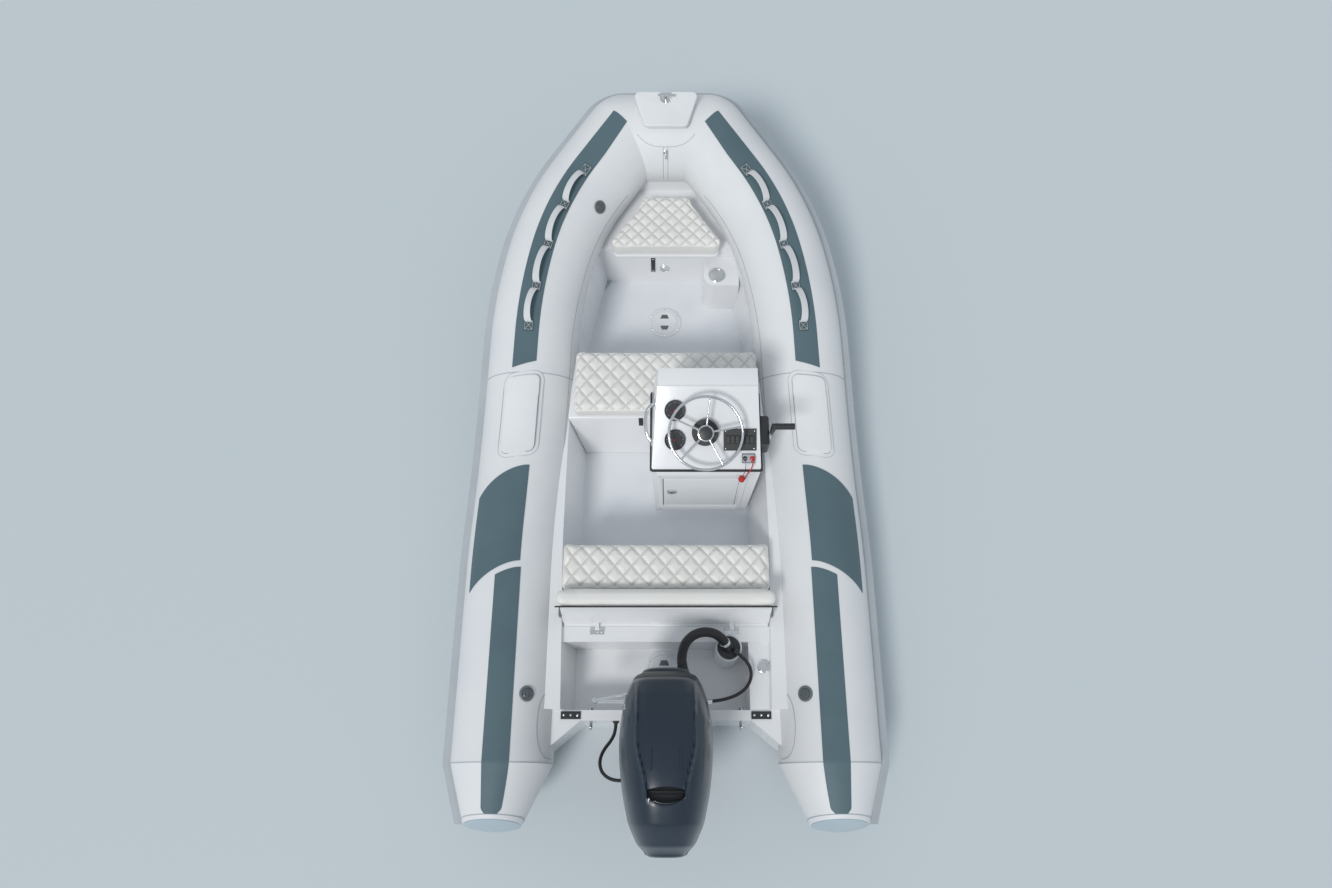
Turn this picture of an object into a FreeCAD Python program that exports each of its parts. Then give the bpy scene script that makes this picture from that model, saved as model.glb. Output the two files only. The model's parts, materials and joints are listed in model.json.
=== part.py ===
"""Small rigid-hull inflatable boat with a side console and a 50 hp class outboard.

Millimetres. +X is starboard, +Y is the bow, +Z is up. The origin lies on the centre
line, amidships, at the waterline. Each piece is written to parts/NAME.step.
"""
import FreeCAD, Part
import math
import os

V = FreeCAD.Vector
X_AXIS = V(1, 0, 0)
Y_AXIS = V(0, 1, 0)
Z_AXIS = V(0, 0, 1)

# Clearances
SEAT = 0.3             # soft or curved piece to what carries it
RUNNING = 0.05         # radial clearance of a shaft in its bore
SWING = 6.0            # moving piece to a fixed one
REACH = 3000.0         # further than any piece, for cuts that run right through

# Collar: the inflated tube, followed along its centre line from the stern to the bow
TUBE_R = 225.0
BETWEEN_TUBES = 502.0  # half breadth between the tubes, aft
TUBE_BOTTOM_Z = 45.0   # underside of the tube above the water, aft
BOW_INNER_Y = 1403.8   # inner face of the bow tube
STRAIGHT_LEN = 805.0
AFT_BEND_R, AFT_BEND_DEG = 6000.0, 2.6
AFT_RUN_LEN = 63.0
SHEER_BEND_R, SHEER_DEG = 3200.0, 10.6
SHEER_RUN_LEN = 296.0
BOW_BENDS = ((2400.0, 11.4), (1350.0, 21.0))    # radius, degrees turned inboard
BOW_RUN_LEN = 324.0

# Stern cones
CONE_LEN = 245.0
CONE_END_R = 127.0
CONE_END_SHIFT_X, CONE_END_SHIFT_Z = 18.0, 50.0
CONE_END_TILT = 12.0
CONE_DOME = 24.0
CONE_STRAKE_RISE = 30.0           # how far the strake climbs along the cone

# Rubbing strake round the outside of the collar
STRAKE_DEPTH = 36.0
STRAKE_HEIGHT = 66.0
STRAKE_NOSE = 44.0     # height of its flat nose
STRAKE_FOOT = 12.0     # depth of its square-cut root
STRAKE_GROOVE = 7.0    # half width of the groove along its nose
STRAKE_GROOVE_DEPTH = 6.0

# Rigid hull: half breadths are shares of the collar's centre line at that station
HULL_STATIONS = (
    # y, keel_z, chine_share, chine_z, top_share
    (-1375.0, -200.0, 0.770, 4.0, 0.825),
    (-500.0, -200.0, 0.776, 4.0, 0.831),
    (250.0, -186.0, 0.797, 24.0, 0.851),
    (750.0, -135.0, 0.742, 78.0, 0.811),
    (1100.0, -45.0, 0.651, 150.0, 0.759),
    (1380.0, 105.0, 0.541, 240.0, 0.655),
    (1545.0, 300.0, 0.179, 350.0, 0.236),
)
RAIL_SHARES = (0.40, 0.72)        # spray rails, as shares of the way from keel to chine
RAIL_WIDTH, RAIL_ROOT = 26.0, 8.0
RAIL_STATIONS = 5                 # how many stations from aft they run through
HULL_TOP = 560.0
TRANSOM_Y = HULL_STATIONS[0][0]
TRANSOM_T = 45.0
TRANSOM_TOP = 332.0
WING_FOOT_X = 380.0    # where each wing starts on the transom
WING_LEN = 122.0
WING_RAKE = 150.0
SOLE_Z = 100.0
SOLE_T = 40.0
COAMING_Z = 392.0      # top of the moulded sides

# Cockpit: gap from the tube's inner line to the liner, at the sole and at the coaming
COCKPIT_STATIONS = (
    # y, sole_gap, top_gap
    (-1330.0, 87.0, 35.0),
    (-550.0, 77.7, 10.7),
    (50.0, 49.9, -11.1),
    (620.0, 15.7, -9.3),
    (930.0, 22.0, -11.0),
    (1045.0, 17.0, -17.0),
)
BOW_FACE_Y = COCKPIT_STATIONS[-1][0]    # aft face of the bow locker

# Bow locker, its lid and the anchor step. Pairs are y and the gap to the tubes
LOCKER_TOP = 420.0
LOCKER_CAVITY = ((1080.0, 81.0), (1290.0, 102.0))
LOCKER_FLOOR = 170.0
BOW_LID_T = 22.0
BOW_LID_OUTLINE = ((985.0, 69.0), (1345.0, 76.0))
BOW_LID_CORNER = 30.0
BOW_CUSHION_OUTLINE = ((984.0, 44.0), (1314.0, 70.0))
BOW_CUSHION_T = 85.0
BOW_CUSHION_CORNER = 42.0
SEAT_EDGE_R = 16.0     # rounding of a cushion's upper edge
STEP_TOP = 495.0
STEP_OUTLINE = ((1428.0, 168.0), (1528.0, 78.0))      # y, half breadth
LATCH_R, LATCH_T = 27.0, 9.0
LATCH_X, LATCH_Z = -9.0, 232.0

# Step pad over the bow tube, its cleat and the tow eye on the stem
PAD_AFT, PAD_FORE = (-80.0, 109.0), (114.0, 170.0)    # along from the tube's crown, half breadth
PAD_FOOT_RISE = 16.0
PAD_RISE = 42.0
PAD_CORNER, PAD_EDGE_R = 26.0, 6.0
PAD_FOOT_INSET = 15.0
NOTCH_R, NOTCH_BACK = 28.0, 36.0
CLEAT_POST_R, CLEAT_BAR_R = 8.0, 7.0
CLEAT_FOOT_R, CLEAT_FOOT_T = 18.0, 6.0
CLEAT_HEIGHT, CLEAT_LEN = 48.0, 84.0
EYE_BAR_R, EYE_BEND_R = 5.0, 14.0
BOW_EYE_Y = 1492.0     # forward face of the tow eye
BOW_EYE_Z = (165.0, 222.0)
STERN_EYE_X = 340.0
STERN_EYE_Z = (225.0, 290.0)
STERN_EYE_REACH = 34.0
EYE_LEG = 120.0        # how far each leg is drawn, before the hull trims it
NUT_R, NUT_T = 10.0, 12.0

# Cup holder pod on the starboard side of the bow cockpit
POD_TOP = 350.0
POD_X = (204.0, 392.0)
POD_Y = (862.0, BOW_FACE_Y)
POD_CORNER = 60.0
CUP_X, CUP_Y, CUP_R, CUP_DEPTH = 275.0, 925.0, 38.0, 70.0
CUP_RIM_R, CUP_RIM_T = 45.0, 4.0

# Pieces glued on the collar. Angles lean outboard from the tube's crown
HANDLE_PATCHES = (
    # y, degrees outboard
    (513.0, 0.5),
    (717.0, -2.0),
    (937.0, -4.0),
    (1152.0, -4.5),
    (1338.0, -4.0),
)
PATCH_SIZE, PATCH_T = 46.0, 3.0
WEBBING_WIDTH, WEBBING_T = 34.0, 3.0
LOOP_RISE, LOOP_LEAN = 36.0, 30.0
LOOP_SPANS = 6
STEP_PAD_Y = (-140.0, 258.0)
STEP_PAD_OUT, STEP_PAD_WIDTH = 1.5, 152.0
STEP_PAD_T = 14.0
AIR_VALVES = ((-1273.0, -32.0, (-1, 1)), (1241.0, -47.0, (-1,)))    # y, degrees, sides
VALVE_R, VALVE_T = 29.0, 7.0

# Middle bench
BENCH_GAP = 40.0       # bench's end to the tube's inner line
MID_CUSHION_Y = (52.0, 397.0)
MID_BASE_TOP = 415.0
MID_BASE_AFT_TOP, MID_BASE_AFT_FOOT = 58.0, -8.0
MID_BASE_FWD = 380.0
MID_CUSHION_T = 85.0

# Steering console
CONSOLE_X = (-66.0, 430.0)        # at the gasket
CONSOLE_FOOT_X = (-50.0, 408.0)
CONSOLE_TOP_X = (-32.0, 410.0)
CONSOLE_TALLEST = 900.0           # above its top, where its sides are drawn to
CONSOLE_AFT_Y = -321.0
CONSOLE_GASKET_Z = 692.0
DASH_FOOT_Y, DASH_HEAD_Y = -300.0, 20.0
DASH_FOOT_Z = 702.0
DASH_SLOPE = 26.0
CONSOLE_CAP_RISE = 16.0
CONSOLE_CAP_FALL = 10.0
CONSOLE_CAP_Y = 98.0
CONSOLE_FRONT_FOOT_Y = -28.0
CONSOLE_FRONT_KNEE = (38.0, 530.0)
CONSOLE_WALL = 9.0
GASKET_DROP, DASH_BACK = 0.3, 0.4 # how far the hollow's corners draw back, in walls
DOORWAY_DEPTH = 36.0              # how deep the doorway's cut reaches

DOOR_X = (-12.0, 339.0)
DOOR_Z = (217.0, 602.0)
DOOR_T = 10.0
DOOR_GAP = 3.0
DOOR_FRAME_X = (-44.0, 372.0)
DOOR_FRAME_Z = (133.0, 657.0)
DOOR_KNUCKLE_R = 4.0
DOOR_KNUCKLE_SHORT = 30.0         # how far the knuckle stops from each end of the door
DOOR_LATCH_X, DOOR_LATCH_Z = 28.0, 430.0
DOOR_LATCH_R, DOOR_LATCH_T = 17.0, 7.0

# Helm
WHEEL_X, WHEEL_Y = 176.0, -166.0
WHEEL_R, WHEEL_RIM_R = 171.5, 8.5
WHEEL_STAND_OFF = 76.0
WHEEL_SPOKES = 5
WHEEL_DISH = 8.0
SPOKE_R = 5.0
HUB_R, HUB_T = 36.0, 30.0
HELM_R, HELM_T = 60.0, 30.0
SHAFT_FOOT = 5.0       # how far the shaft stops above the dash
SHAFT_R = 9.5
GAUGE_R, GAUGE_T = 46.5, 12.0
GAUGE_X = 40.0
GAUGE_Y = (-78.0, -197.0)
SWITCH_X, SWITCH_Y, SWITCH_SIZE = 333.0, -196.0, (148.0, 98.0)
PANEL_T = 7.0
IGNITION_X, IGNITION_Y, IGNITION_SIZE = 372.0, -272.0, (58.0, 42.0)

# Throttle control on the console's starboard side
THROTTLE_Y, THROTTLE_Z = (-215.0, -75.0), (640.0, 742.0)
THROTTLE_REACH = 40.0             # how far its box stands out from the console
THROTTLE_CORNER = 12.0
LEVER_FOOT_Y, LEVER_FOOT_Z = -145.0, 700.0
LEVER_BOSS_R, LEVER_T = 22.0, 10.0
LEVER_LEN, LEVER_LEAN, LEVER_HALF = 103.0, -8.0, 13.0
GRIP_R, GRIP_LEN = 14.0, 96.0

# Grab rail on the console's port side: the corners of its bar
GRAB_RAIL_POINTS = (
    # x, y, z
    (-40.0, -30.0, 770.0),
    (-118.0, -50.0, 762.0),
    (-124.0, -150.0, 720.0),
    (-118.0, -245.0, 672.0),
    (-50.0, -262.0, 662.0),
)
GRAB_RAIL_R, GRAB_RAIL_BEND = 11.0, 30.0

# After bench and the stowage under it
AFT_BENCH_GAP = 32.0
AFT_BASE_Y = (-965.0, -600.0)
AFT_BASE_TOP = 372.0
BASE_WALL, BASE_END_WALL = 22.0, 75.0
AFT_LID_GAP = 1.0
AFT_LID_T = 22.0
AFT_LID_BACK, AFT_LID_LIP = 14.0, 8.0
AFT_CUSHION_Y = (-822.0, -588.0)
AFT_CUSHION_GAP = 12.0
AFT_CUSHION_T = 78.0
BOLSTER_Y = (-902.0, -826.0)
BOLSTER_TOP = 552.0
BOLSTER_FOOT = 16.0
BOLSTER_OVERHANG = 30.0
BOLSTER_CHAMFER = 20.0
BACK_PANEL_T = 14.0
BACK_PANEL_DROP = 22.0            # how far the panel stops below the bolster's top
HINGE_X = (-315.0, 301.0)
HINGE_HALF, HINGE_LEAF_T, HINGE_KNUCKLE_R = 32.0, 2.5, 5.0
HINGE_LEAF_LEN = 24.0
HINGE_PIN_R, HINGE_LIFT = 2.5, 0.5
HINGE_MIDDLE = 10.0    # half length of the lid's own knuckle
AFT_HINGE_Y = AFT_BASE_Y[0] - 13.0

# Splash well
SHELF_AFT_Y = -1035.0
WELL_FLOOR_Z = 150.0
WELL_STARBOARD_X = 375.0
WELL_STARBOARD_DROP = 14.0
RIGGING_X, RIGGING_Y = 285.0, -1062.0
RIGGING_R, RIGGING_T = 52.0, 9.0
RIGGING_BOSS_R, RIGGING_POST_R = 60.0, 27.0
GLAND_R, GLAND_LEN = 14.0, 22.0
DECK_PLATE_R, DECK_PLATE_T = 92.0, 5.0
DECK_PLATES = ((-8.0, 774.0, SOLE_Z), (-9.0, -1134.0, WELL_FLOOR_Z))    # x, y, z
FILLER_X, FILLER_Y, FILLER_R, FILLER_T = 440.0, -1145.0, 25.0, 9.0
PLATE_X, PLATE_SIZE, PLATE_T = 425.0, (89.0, 33.0), 5.0

# Hoses and the cable: the points of each route
HOSE_R = 21.5
RIGGING_HOSE = (
    (270.8, -1047.8, 396.0),
    (247.0, -1024.0, 436.0),
    (206.0, -1009.0, 470.0),
    (153.0, -1011.0, 494.0),
    (102.0, -1038.0, 504.0),
    (72.0, -1086.0, 507.0),
    (68.0, -1144.0, 510.0),
    (79.0, -1203.0, 514.0),
    (86.0, -1262.0, 518.0),
)
CABLE_R = 7.5
STEERING_CABLE = (
    (326.0, -1091.0, 393.0),
    (361.0, -1120.0, 394.0),
    (381.0, -1160.0, 395.0),
    (379.0, -1206.0, 395.0),
    (353.0, -1247.0, 394.0),
    (309.0, -1275.0, 393.0),
    (255.0, -1292.0, 392.5),
    (195.0, -1299.0, 392.0),
    (142.0, -1300.0, 392.0),
)
FUEL_HOSE = (
    (-225.0, -1375.0, 290.0),
    (-225.0, -1415.0, 290.0),
    (-243.0, -1457.0, 296.0),
    (-275.0, -1496.0, 310.0),
    (-292.0, -1541.0, 328.0),
    (-284.0, -1585.0, 351.0),
    (-252.0, -1616.0, 378.0),
    (-206.0, -1628.0, 405.0),
    (-167.0, -1623.0, 437.0),
    (-150.0, -1612.0, 473.5),
)

# Outboard: its brackets
TILT_AHEAD = 75.0                 # tilt tube forward of the transom's aft face
TILT_RISE = 60.0
TILT_R = 16.0
TILT_TUBE_PROUD = 30.0
CLAMP_X, CLAMP_T = 88.0, 24.0
CLAMP_HALF = 30.0
CLAMP_CHAMFER = 14.0
CLAMP_GAP = 22.0                  # clamp's front arm to the transom
CLAMP_BACK = 65.0
CLAMP_FOOT_Z, CLAMP_ARM_Z = 30.0, 150.0
SWIVEL_BACK = 162.0               # king pin aft of the tilt tube
SWIVEL_R = 30.0
SWIVEL_Z = (30.0, 430.0)
SWIVEL_FOOT_Z = 60.0
SWIVEL_NOSE, SWIVEL_NOSE_Z = 26.0, (-15.0, 21.0)     # ahead of the tilt axis, and about it
SWIVEL_WEB = 21.0                 # web forward of the king pin's tube
KING_R = 12.0
YOKE_GAP = 2.0
ARM_LIFT = 3.0
STEER_ARM_LEN, STEER_ARM_T, STEER_ARM_HALF = 215.0, 14.0, 20.0
RAM_R = 8.0
RAM_END_X = (-312.0, 0.0)
RAM_POST_R, LINK_R, LINK_LIFT = 11.0, 6.0, 9.0
LINK_EYE_R, LINK_EYE_T = 13.0, 15.0

# Outboard: leg and gearcase. Places along the boat are aft of the king pin
LEG_HALF, LEG_LEN = (52.0, 58.0, 30.0), (90.0, 200.0)
LEG_CLAMP_HALF, LEG_CLAMP_T = (46.0, 36.0), 36.0
PLATE_Z = -182.0
PLATE_OUTLINE = ((18.0, 40.0), (178.0, 88.0), (338.0, 80.0))     # aft, half breadth
ANTI_CAVITATION_T = 8.0
STRUT_OUTLINE = ((38.0, 16.0), (128.0, 26.0), (238.0, 14.0))     # aft, half breadth
PROP_Z = -350.0
TORPEDO_AFT, TORPEDO_R, TORPEDO_LEN = 73.0, 44.0, 165.0
SKEG_Z = -550.0
SKEG_ROOT, SKEG_TIP, SKEG_HALF = (68.0, 228.0), (148.0, 218.0), 6.0
PROP_R = 145.0
PROP_HUB_R, PROP_HUB_LEN = (42.0, 32.0), 90.0
PROP_SHAFT_R = 10.0
PROP_BLADES = 3
PROP_GAP = 1.0
BLADE_PLACE = 0.55     # where the blades stand, as a share of the hub
BLADE_SECTIONS = (
    # share of the radius, half length, pitch, half thickness
    (0.18, 34.0, 52.0, 4.0),
    (0.62, 56.0, 32.0, 3.0),
    (0.97, 26.0, 22.0, 1.5),
)

# Outboard: cowl and the pan under it
COWL_BASE_Z = 478.0
COWL_SPLIT_Z = 560.0
COWL_STATIONS = (
    # ahead of the king pin, half breadth, height above the base
    (257.0, 70.0, 186.0),
    (202.0, 128.0, 308.0),
    (92.0, 178.0, 418.0),
    (-48.0, 192.0, 457.0),
    (-198.0, 178.0, 440.0),
    (-328.0, 138.0, 368.0),
    (-443.0, 55.0, 208.0),
)
COWL_SHOULDER = 90.0
SHOULDER_LIMITS = (0.95, 0.8)     # its largest shares of a section's half breadth and height
INTAKE_AFT, INTAKE_HALF, INTAKE_DEPTH = (178.0, 263.0), 75.0, 70.0
POWERHEAD_X = 115.0
POWERHEAD_Y = (-228.0, 132.0)
POWERHEAD_Z = (490.0, 800.0)

# Places that follow from the sizes above
TUBE_X = BETWEEN_TUBES + TUBE_R
TUBE_Z = TUBE_BOTTOM_Z + TUBE_R
TILT_Y = TRANSOM_Y + TILT_AHEAD
TILT_Z = TRANSOM_TOP + TILT_RISE
SWIVEL_Y = TILT_Y - SWIVEL_BACK
INSIDE_Y = TRANSOM_Y + TRANSOM_T
DASH_NORMAL = V(0, -math.sin(math.radians(DASH_SLOPE)), math.cos(math.radians(DASH_SLOPE)))
DASH_ALONG = V(0, math.cos(math.radians(DASH_SLOPE)), math.sin(math.radians(DASH_SLOPE)))

os.makedirs("parts", exist_ok=True)


def save(name, *solids):
    """Write one node, as one solid or as several that don't touch."""
    shape = solids[0] if len(solids) == 1 else Part.makeCompound(list(solids))
    shape.exportStep(f"parts/{name}.step")


def prism(points, along):
    """A closed outline of 3-D points pushed along a vector."""
    return Part.Face(Part.makePolygon(points + points[:1])).extrude(along)


def side_prism(outline, x0, x1):
    """An outline of (y, z) pairs, extruded across the boat from x0 to x1."""
    return prism([V(x0, y, z) for y, z in outline], V(x1 - x0, 0, 0))


def plan_prism(outline, z0, z1):
    """An outline of (x, y) pairs, extruded upwards from z0 to z1."""
    return prism([V(x, y, z0) for x, y in outline], V(0, 0, z1 - z0))


def front_prism(outline, y0, y1):
    """An outline of (x, z) pairs, extruded forwards from y0 to y1."""
    return prism([V(x, y0, z) for x, z in outline], V(0, y1 - y0, 0))


def block(x, y, z):
    """A box between pairs of x, y and z."""
    return Part.makeBox(x[1] - x[0], y[1] - y[0], z[1] - z[0], V(x[0], y[0], z[0]))


def rod(radius, start, end):
    """A round bar between two points."""
    return Part.makeCylinder(radius, (end - start).Length, start, end - start)


def soften(shape, radius, chosen):
    """Round the edges that a test picks."""
    edges = [e for e in shape.Edges if chosen(e)]
    return shape.makeFillet(radius, edges) if edges else shape


def upright(edge):
    """Whether an edge runs straight up."""
    box = edge.BoundBox
    return box.ZLength > 1 and box.XLength < 1e-3 and box.YLength < 1e-3


def mirror_x(shape):
    """The other hand of a piece, across the centre line."""
    return shape.mirror(V(0, 0, 0), X_AXIS)


def turned(vector, axis, degrees):
    """A vector turned about an axis through the origin."""
    return FreeCAD.Rotation(axis, degrees).multVec(vector)


def fuse(first, *rest):
    """Several solids as one, with faces in one plane joined."""
    return first.multiFuse(list(rest)).removeSplitter() if rest else first


def largest(shape):
    """The biggest solid of a shape that a cut has left in pieces."""
    return max(shape.Solids, key=lambda s: s.Volume)


def half_space(point, normal, size):
    """A big block on the side of a plane that its normal points to."""
    face = Part.makePlane(size, size, V(-size / 2, -size / 2, 0))
    face.Placement = FreeCAD.Placement(point, FreeCAD.Rotation(Z_AXIS, normal))
    return face.extrude(normal * size)


def bar_path(points, bend=None):
    """Straight runs joined by tangent arcs. Without a radius, each arc is as large as fits."""
    edges = []
    here = points[0]
    for before, corner, after in zip(points, points[1:], points[2:]):
        back, ahead = before - corner, after - corner
        reach = 0.45 * min(back.Length, ahead.Length)
        back.normalize()
        ahead.normalize()
        half = 0.5 * back.getAngle(ahead)
        radius = bend if bend else reach * math.tan(half)
        cut = radius / math.tan(half)
        start, finish = corner + back * cut, corner + ahead * cut
        middle = (back + ahead).normalize()
        centre = corner + middle * (radius / math.sin(half))
        edges.append(Part.LineSegment(here, start).toShape())
        edges.append(Part.Arc(start, centre - middle * radius, finish).toShape())
        here = finish
    edges.append(Part.LineSegment(here, points[-1]).toShape())
    return Part.Wire(edges)


def bent_bar(points, radius, bend=None):
    """A round bar along such a path."""
    ring = Part.Wire(Part.Edge(Part.Circle(points[0], points[1] - points[0], radius)))
    return bar_path(points, bend).makePipeShell([ring], True, False)


class Stretch:
    """One stretch of the collar: a straight run, or a bend about an axis."""

    def __init__(self, start, along, outward, up, length=0.0, pivot=None, axis=None,
                 degrees=0.0):
        self.start, self.along, self.outward, self.up = start, along, outward, up
        self.length, self.pivot, self.axis, self.degrees = length, pivot, axis, degrees

    def at(self, share):
        """Place and directions at a share of the way along."""
        if self.pivot is None:
            place = self.start + self.along * (self.length * share)
            return place, self.along, self.outward, self.up
        turn = FreeCAD.Rotation(self.axis, self.degrees * share)
        place = self.pivot + turn.multVec(self.start - self.pivot)
        return (place, turn.multVec(self.along), turn.multVec(self.outward),
                turn.multVec(self.up))

    def carry(self, face):
        """Sweep a face that stands at the start along this stretch."""
        if self.pivot is None:
            return face.extrude(self.along * self.length)
        return face.revolve(self.pivot, self.axis, self.degrees)

    def tube(self, radius):
        ring = Part.Edge(Part.Circle(self.start, self.along, radius))
        return self.carry(Part.Face(Part.Wire(ring)))

    def strake(self):
        return self.carry(strake_face(self.start, self.outward, self.up))


def strake_face(centre, outward, up):
    """Section of the strake: hollow at the back to fit the tube, grooved at the nose."""
    back = TUBE_R + SEAT
    half = STRAKE_HEIGHT / 2
    nose = TUBE_R + STRAKE_DEPTH
    inner = math.sqrt(back ** 2 - half ** 2)

    def at(out, rise):
        return centre + outward * out + up * rise

    edges = [Part.Arc(at(inner, half), at(back, 0), at(inner, -half)).toShape()]
    outline = [
        (inner, -half),
        (TUBE_R + STRAKE_FOOT, -half),
        (nose, -STRAKE_NOSE / 2),
        (nose, -STRAKE_GROOVE),
        (nose - STRAKE_GROOVE_DEPTH, 0),
        (nose, STRAKE_GROOVE),
        (nose, STRAKE_NOSE / 2),
        (TUBE_R + STRAKE_FOOT, half),
        (inner, half),
    ]
    for a, b in zip(outline, outline[1:]):
        edges.append(Part.LineSegment(at(*a), at(*b)).toShape())
    return Part.Face(Part.Wire(edges))


def collar_path(seam_y):
    """The starboard centre line, from the stern seam to the bow corner."""
    here = (V(TUBE_X, seam_y, TUBE_Z), Y_AXIS, X_AXIS, Z_AXIS)
    path = []

    def run(length):
        path.append(Stretch(*here, length=length))
        return path[-1].at(1)

    def bend(radius, degrees, towards):
        place, along, outward, up = here
        side = {"in": outward * -1, "up": up}[towards]
        path.append(Stretch(place, along, outward, up, pivot=place + side * radius,
                            axis=along.cross(side), degrees=degrees))
        return path[-1].at(1)

    here = run(STRAIGHT_LEN)
    here = bend(AFT_BEND_R, AFT_BEND_DEG, "in")
    here = run(AFT_RUN_LEN)
    here = bend(SHEER_BEND_R, SHEER_DEG, "up")
    place, along, outward, up = here
    normal = X_AXIS.cross(V(0, along.y, along.z)).normalize()
    here = (place, along, along.cross(normal).normalize(), normal)
    here = run(SHEER_RUN_LEN)
    for radius, degrees in BOW_BENDS:
        here = bend(radius, degrees, "in")
    here = run(BOW_RUN_LEN)
    return path


SEAM_Y = BOW_INNER_Y + TUBE_R - collar_path(0.0)[-1].at(1)[0].y
PATH = collar_path(SEAM_Y)
AFT_PATH, FORE_PATH = PATH[:4], PATH[4:]
CORNER, CORNER_ALONG, CORNER_OUT, CORNER_UP = PATH[-1].at(1)
CORNER_TURN = math.degrees(math.acos(-CORNER_ALONG.x))
BOW_AHEAD = CORNER_UP.cross(X_AXIS)       # forwards along the slope of the bow tube


def collar_at(y):
    """Place and directions on the starboard centre line at a station."""
    stretch = PATH[0]
    for candidate in PATH:
        if candidate.start.y <= y:
            stretch = candidate
    low, high = 0.0, 1.0
    while high - low > 1e-7:
        middle = (low + high) / 2
        if stretch.at(middle)[0].y < y:
            low = middle
        else:
            high = middle
    return stretch.at(low)


def on_collar(y, degrees, lift=0.0):
    """A point on the starboard tube's skin, the way out of it there, and the way along it."""
    centre, along, outward, up = collar_at(y)
    angle = math.radians(degrees)
    out = up * math.cos(angle) + outward * math.sin(angle)
    return centre + out * (TUBE_R + lift), out, along


def inner_line(y):
    """Half breadth between the tubes at a station."""
    return collar_at(y)[0].x - TUBE_R


def bow_stretches():
    """Corner and athwartship run of the bow, starboard half first."""
    turn = FreeCAD.Rotation(CORNER_UP, CORNER_TURN)
    across = turn.multVec(CORNER_ALONG)
    outward = turn.multVec(CORNER_OUT)
    corner = Stretch(CORNER, CORNER_ALONG, CORNER_OUT, CORNER_UP, pivot=CORNER,
                     axis=CORNER_UP, degrees=CORNER_TURN)
    middle = Stretch(CORNER, across, outward, CORNER_UP, length=2 * CORNER.x)
    return corner, middle


BOW_CORNER, BOW_MIDDLE = bow_stretches()


def tube_chain(stretches, radius):
    """A round tube along several stretches of the collar."""
    return fuse(*[s.tube(radius) for s in stretches])


def bow_tube(radius):
    """The athwartship tube with its two round corners."""
    corner = Part.makeSphere(radius, CORNER)
    return fuse(BOW_MIDDLE.tube(radius), corner, mirror_x(corner))


def collar_tool():
    """The collar with its seat clearance, for trimming what lies against it."""
    side = tube_chain(PATH, TUBE_R + SEAT)
    return fuse(side, mirror_x(side), bow_tube(TUBE_R + SEAT))


COLLAR_TOOL = collar_tool()


def cone():
    """Starboard stern cone: from the seam to a smaller, tilted end with a dome."""
    seam = Part.Wire(Part.Edge(Part.Circle(V(TUBE_X, SEAM_Y, TUBE_Z), Y_AXIS, TUBE_R)))
    tilt = math.radians(CONE_END_TILT)
    aft = V(0, -math.cos(tilt), math.sin(tilt))
    centre = V(TUBE_X + CONE_END_SHIFT_X, SEAM_Y - CONE_LEN, TUBE_Z + CONE_END_SHIFT_Z)
    rim = Part.Circle(centre, aft * -1, CONE_END_R)
    body = Part.makeLoft([seam, Part.Wire(Part.Edge(rim))], True, True)
    crown_r = (CONE_END_R ** 2 + CONE_DOME ** 2) / (2 * CONE_DOME)
    crown = Part.makeSphere(crown_r, centre - aft * (crown_r - CONE_DOME))
    return body.fuse(crown.common(half_space(centre, aft, REACH)))


def cone_strake(body):
    """Starboard strake along the cone, narrowing inboard to the end."""
    fore = strake_face(V(TUBE_X, SEAM_Y, TUBE_Z), X_AXIS, Z_AXIS).OuterWire
    aft = fore.copy()
    aft.translate(V(-(TUBE_R - CONE_END_R - CONE_END_SHIFT_X), -CONE_LEN, CONE_STRAKE_RISE))
    return Part.makeLoft([aft, fore], True, True).cut(body)


def make_collar():
    """Chambers of the collar, its cones and the strake."""
    aft = tube_chain(AFT_PATH, TUBE_R)
    bow = bow_tube(TUBE_R)
    fore = largest(tube_chain(FORE_PATH, TUBE_R).cut(bow))
    tail = cone()
    rail = fuse(cone_strake(tail), *[s.strake() for s in PATH])
    corner = BOW_CORNER.strake()
    for side, hand in (("starboard", lambda shape: shape), ("port", mirror_x)):
        save(f"tube_aft_{side}", hand(aft))
        save(f"tube_forward_{side}", hand(fore))
        save(f"rub_strake_{side}", hand(rail))
    save("tube_bow", bow)
    save("stern_cones", tail, mirror_x(tail))
    save("rub_strake_bow", fuse(BOW_MIDDLE.strake(), corner, mirror_x(corner)))


def collar_skin(stretches, thick):
    """A layer of the given thickness that lies on part of the collar."""
    return tube_chain(stretches, TUBE_R + SEAT + thick).cut(COLLAR_TOOL)


def webbing_loop(start, end):
    """A band that rises from one patch, leans outboard and comes down on the next."""
    (low_y, low_deg), (high_y, high_deg) = start, end
    wires = []
    for k in range(LOOP_SPANS + 1):
        share = k / LOOP_SPANS
        swell = math.sin(math.pi * share)
        foot, out, along = on_collar(low_y + (high_y - low_y) * share,
                                     low_deg + (high_deg - low_deg) * share, PATCH_T)
        across = along.cross(out).normalize() * -1
        outboard = across if across.x > 0 else across * -1
        centre = foot + out * (LOOP_RISE * swell) + outboard * (LOOP_LEAN * swell)
        lean = turned(outboard, along, math.degrees(math.atan(LOOP_LEAN / LOOP_RISE)) * swell)
        face = along.cross(lean).normalize()
        half, thin = lean * (WEBBING_WIDTH / 2), face * (WEBBING_T / 2)
        corners = [centre - half - thin, centre + half - thin, centre + half + thin,
                   centre - half + thin]
        wires.append(Part.makePolygon(corners + corners[:1]))
    return Part.makeLoft(wires, True, True)


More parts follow.
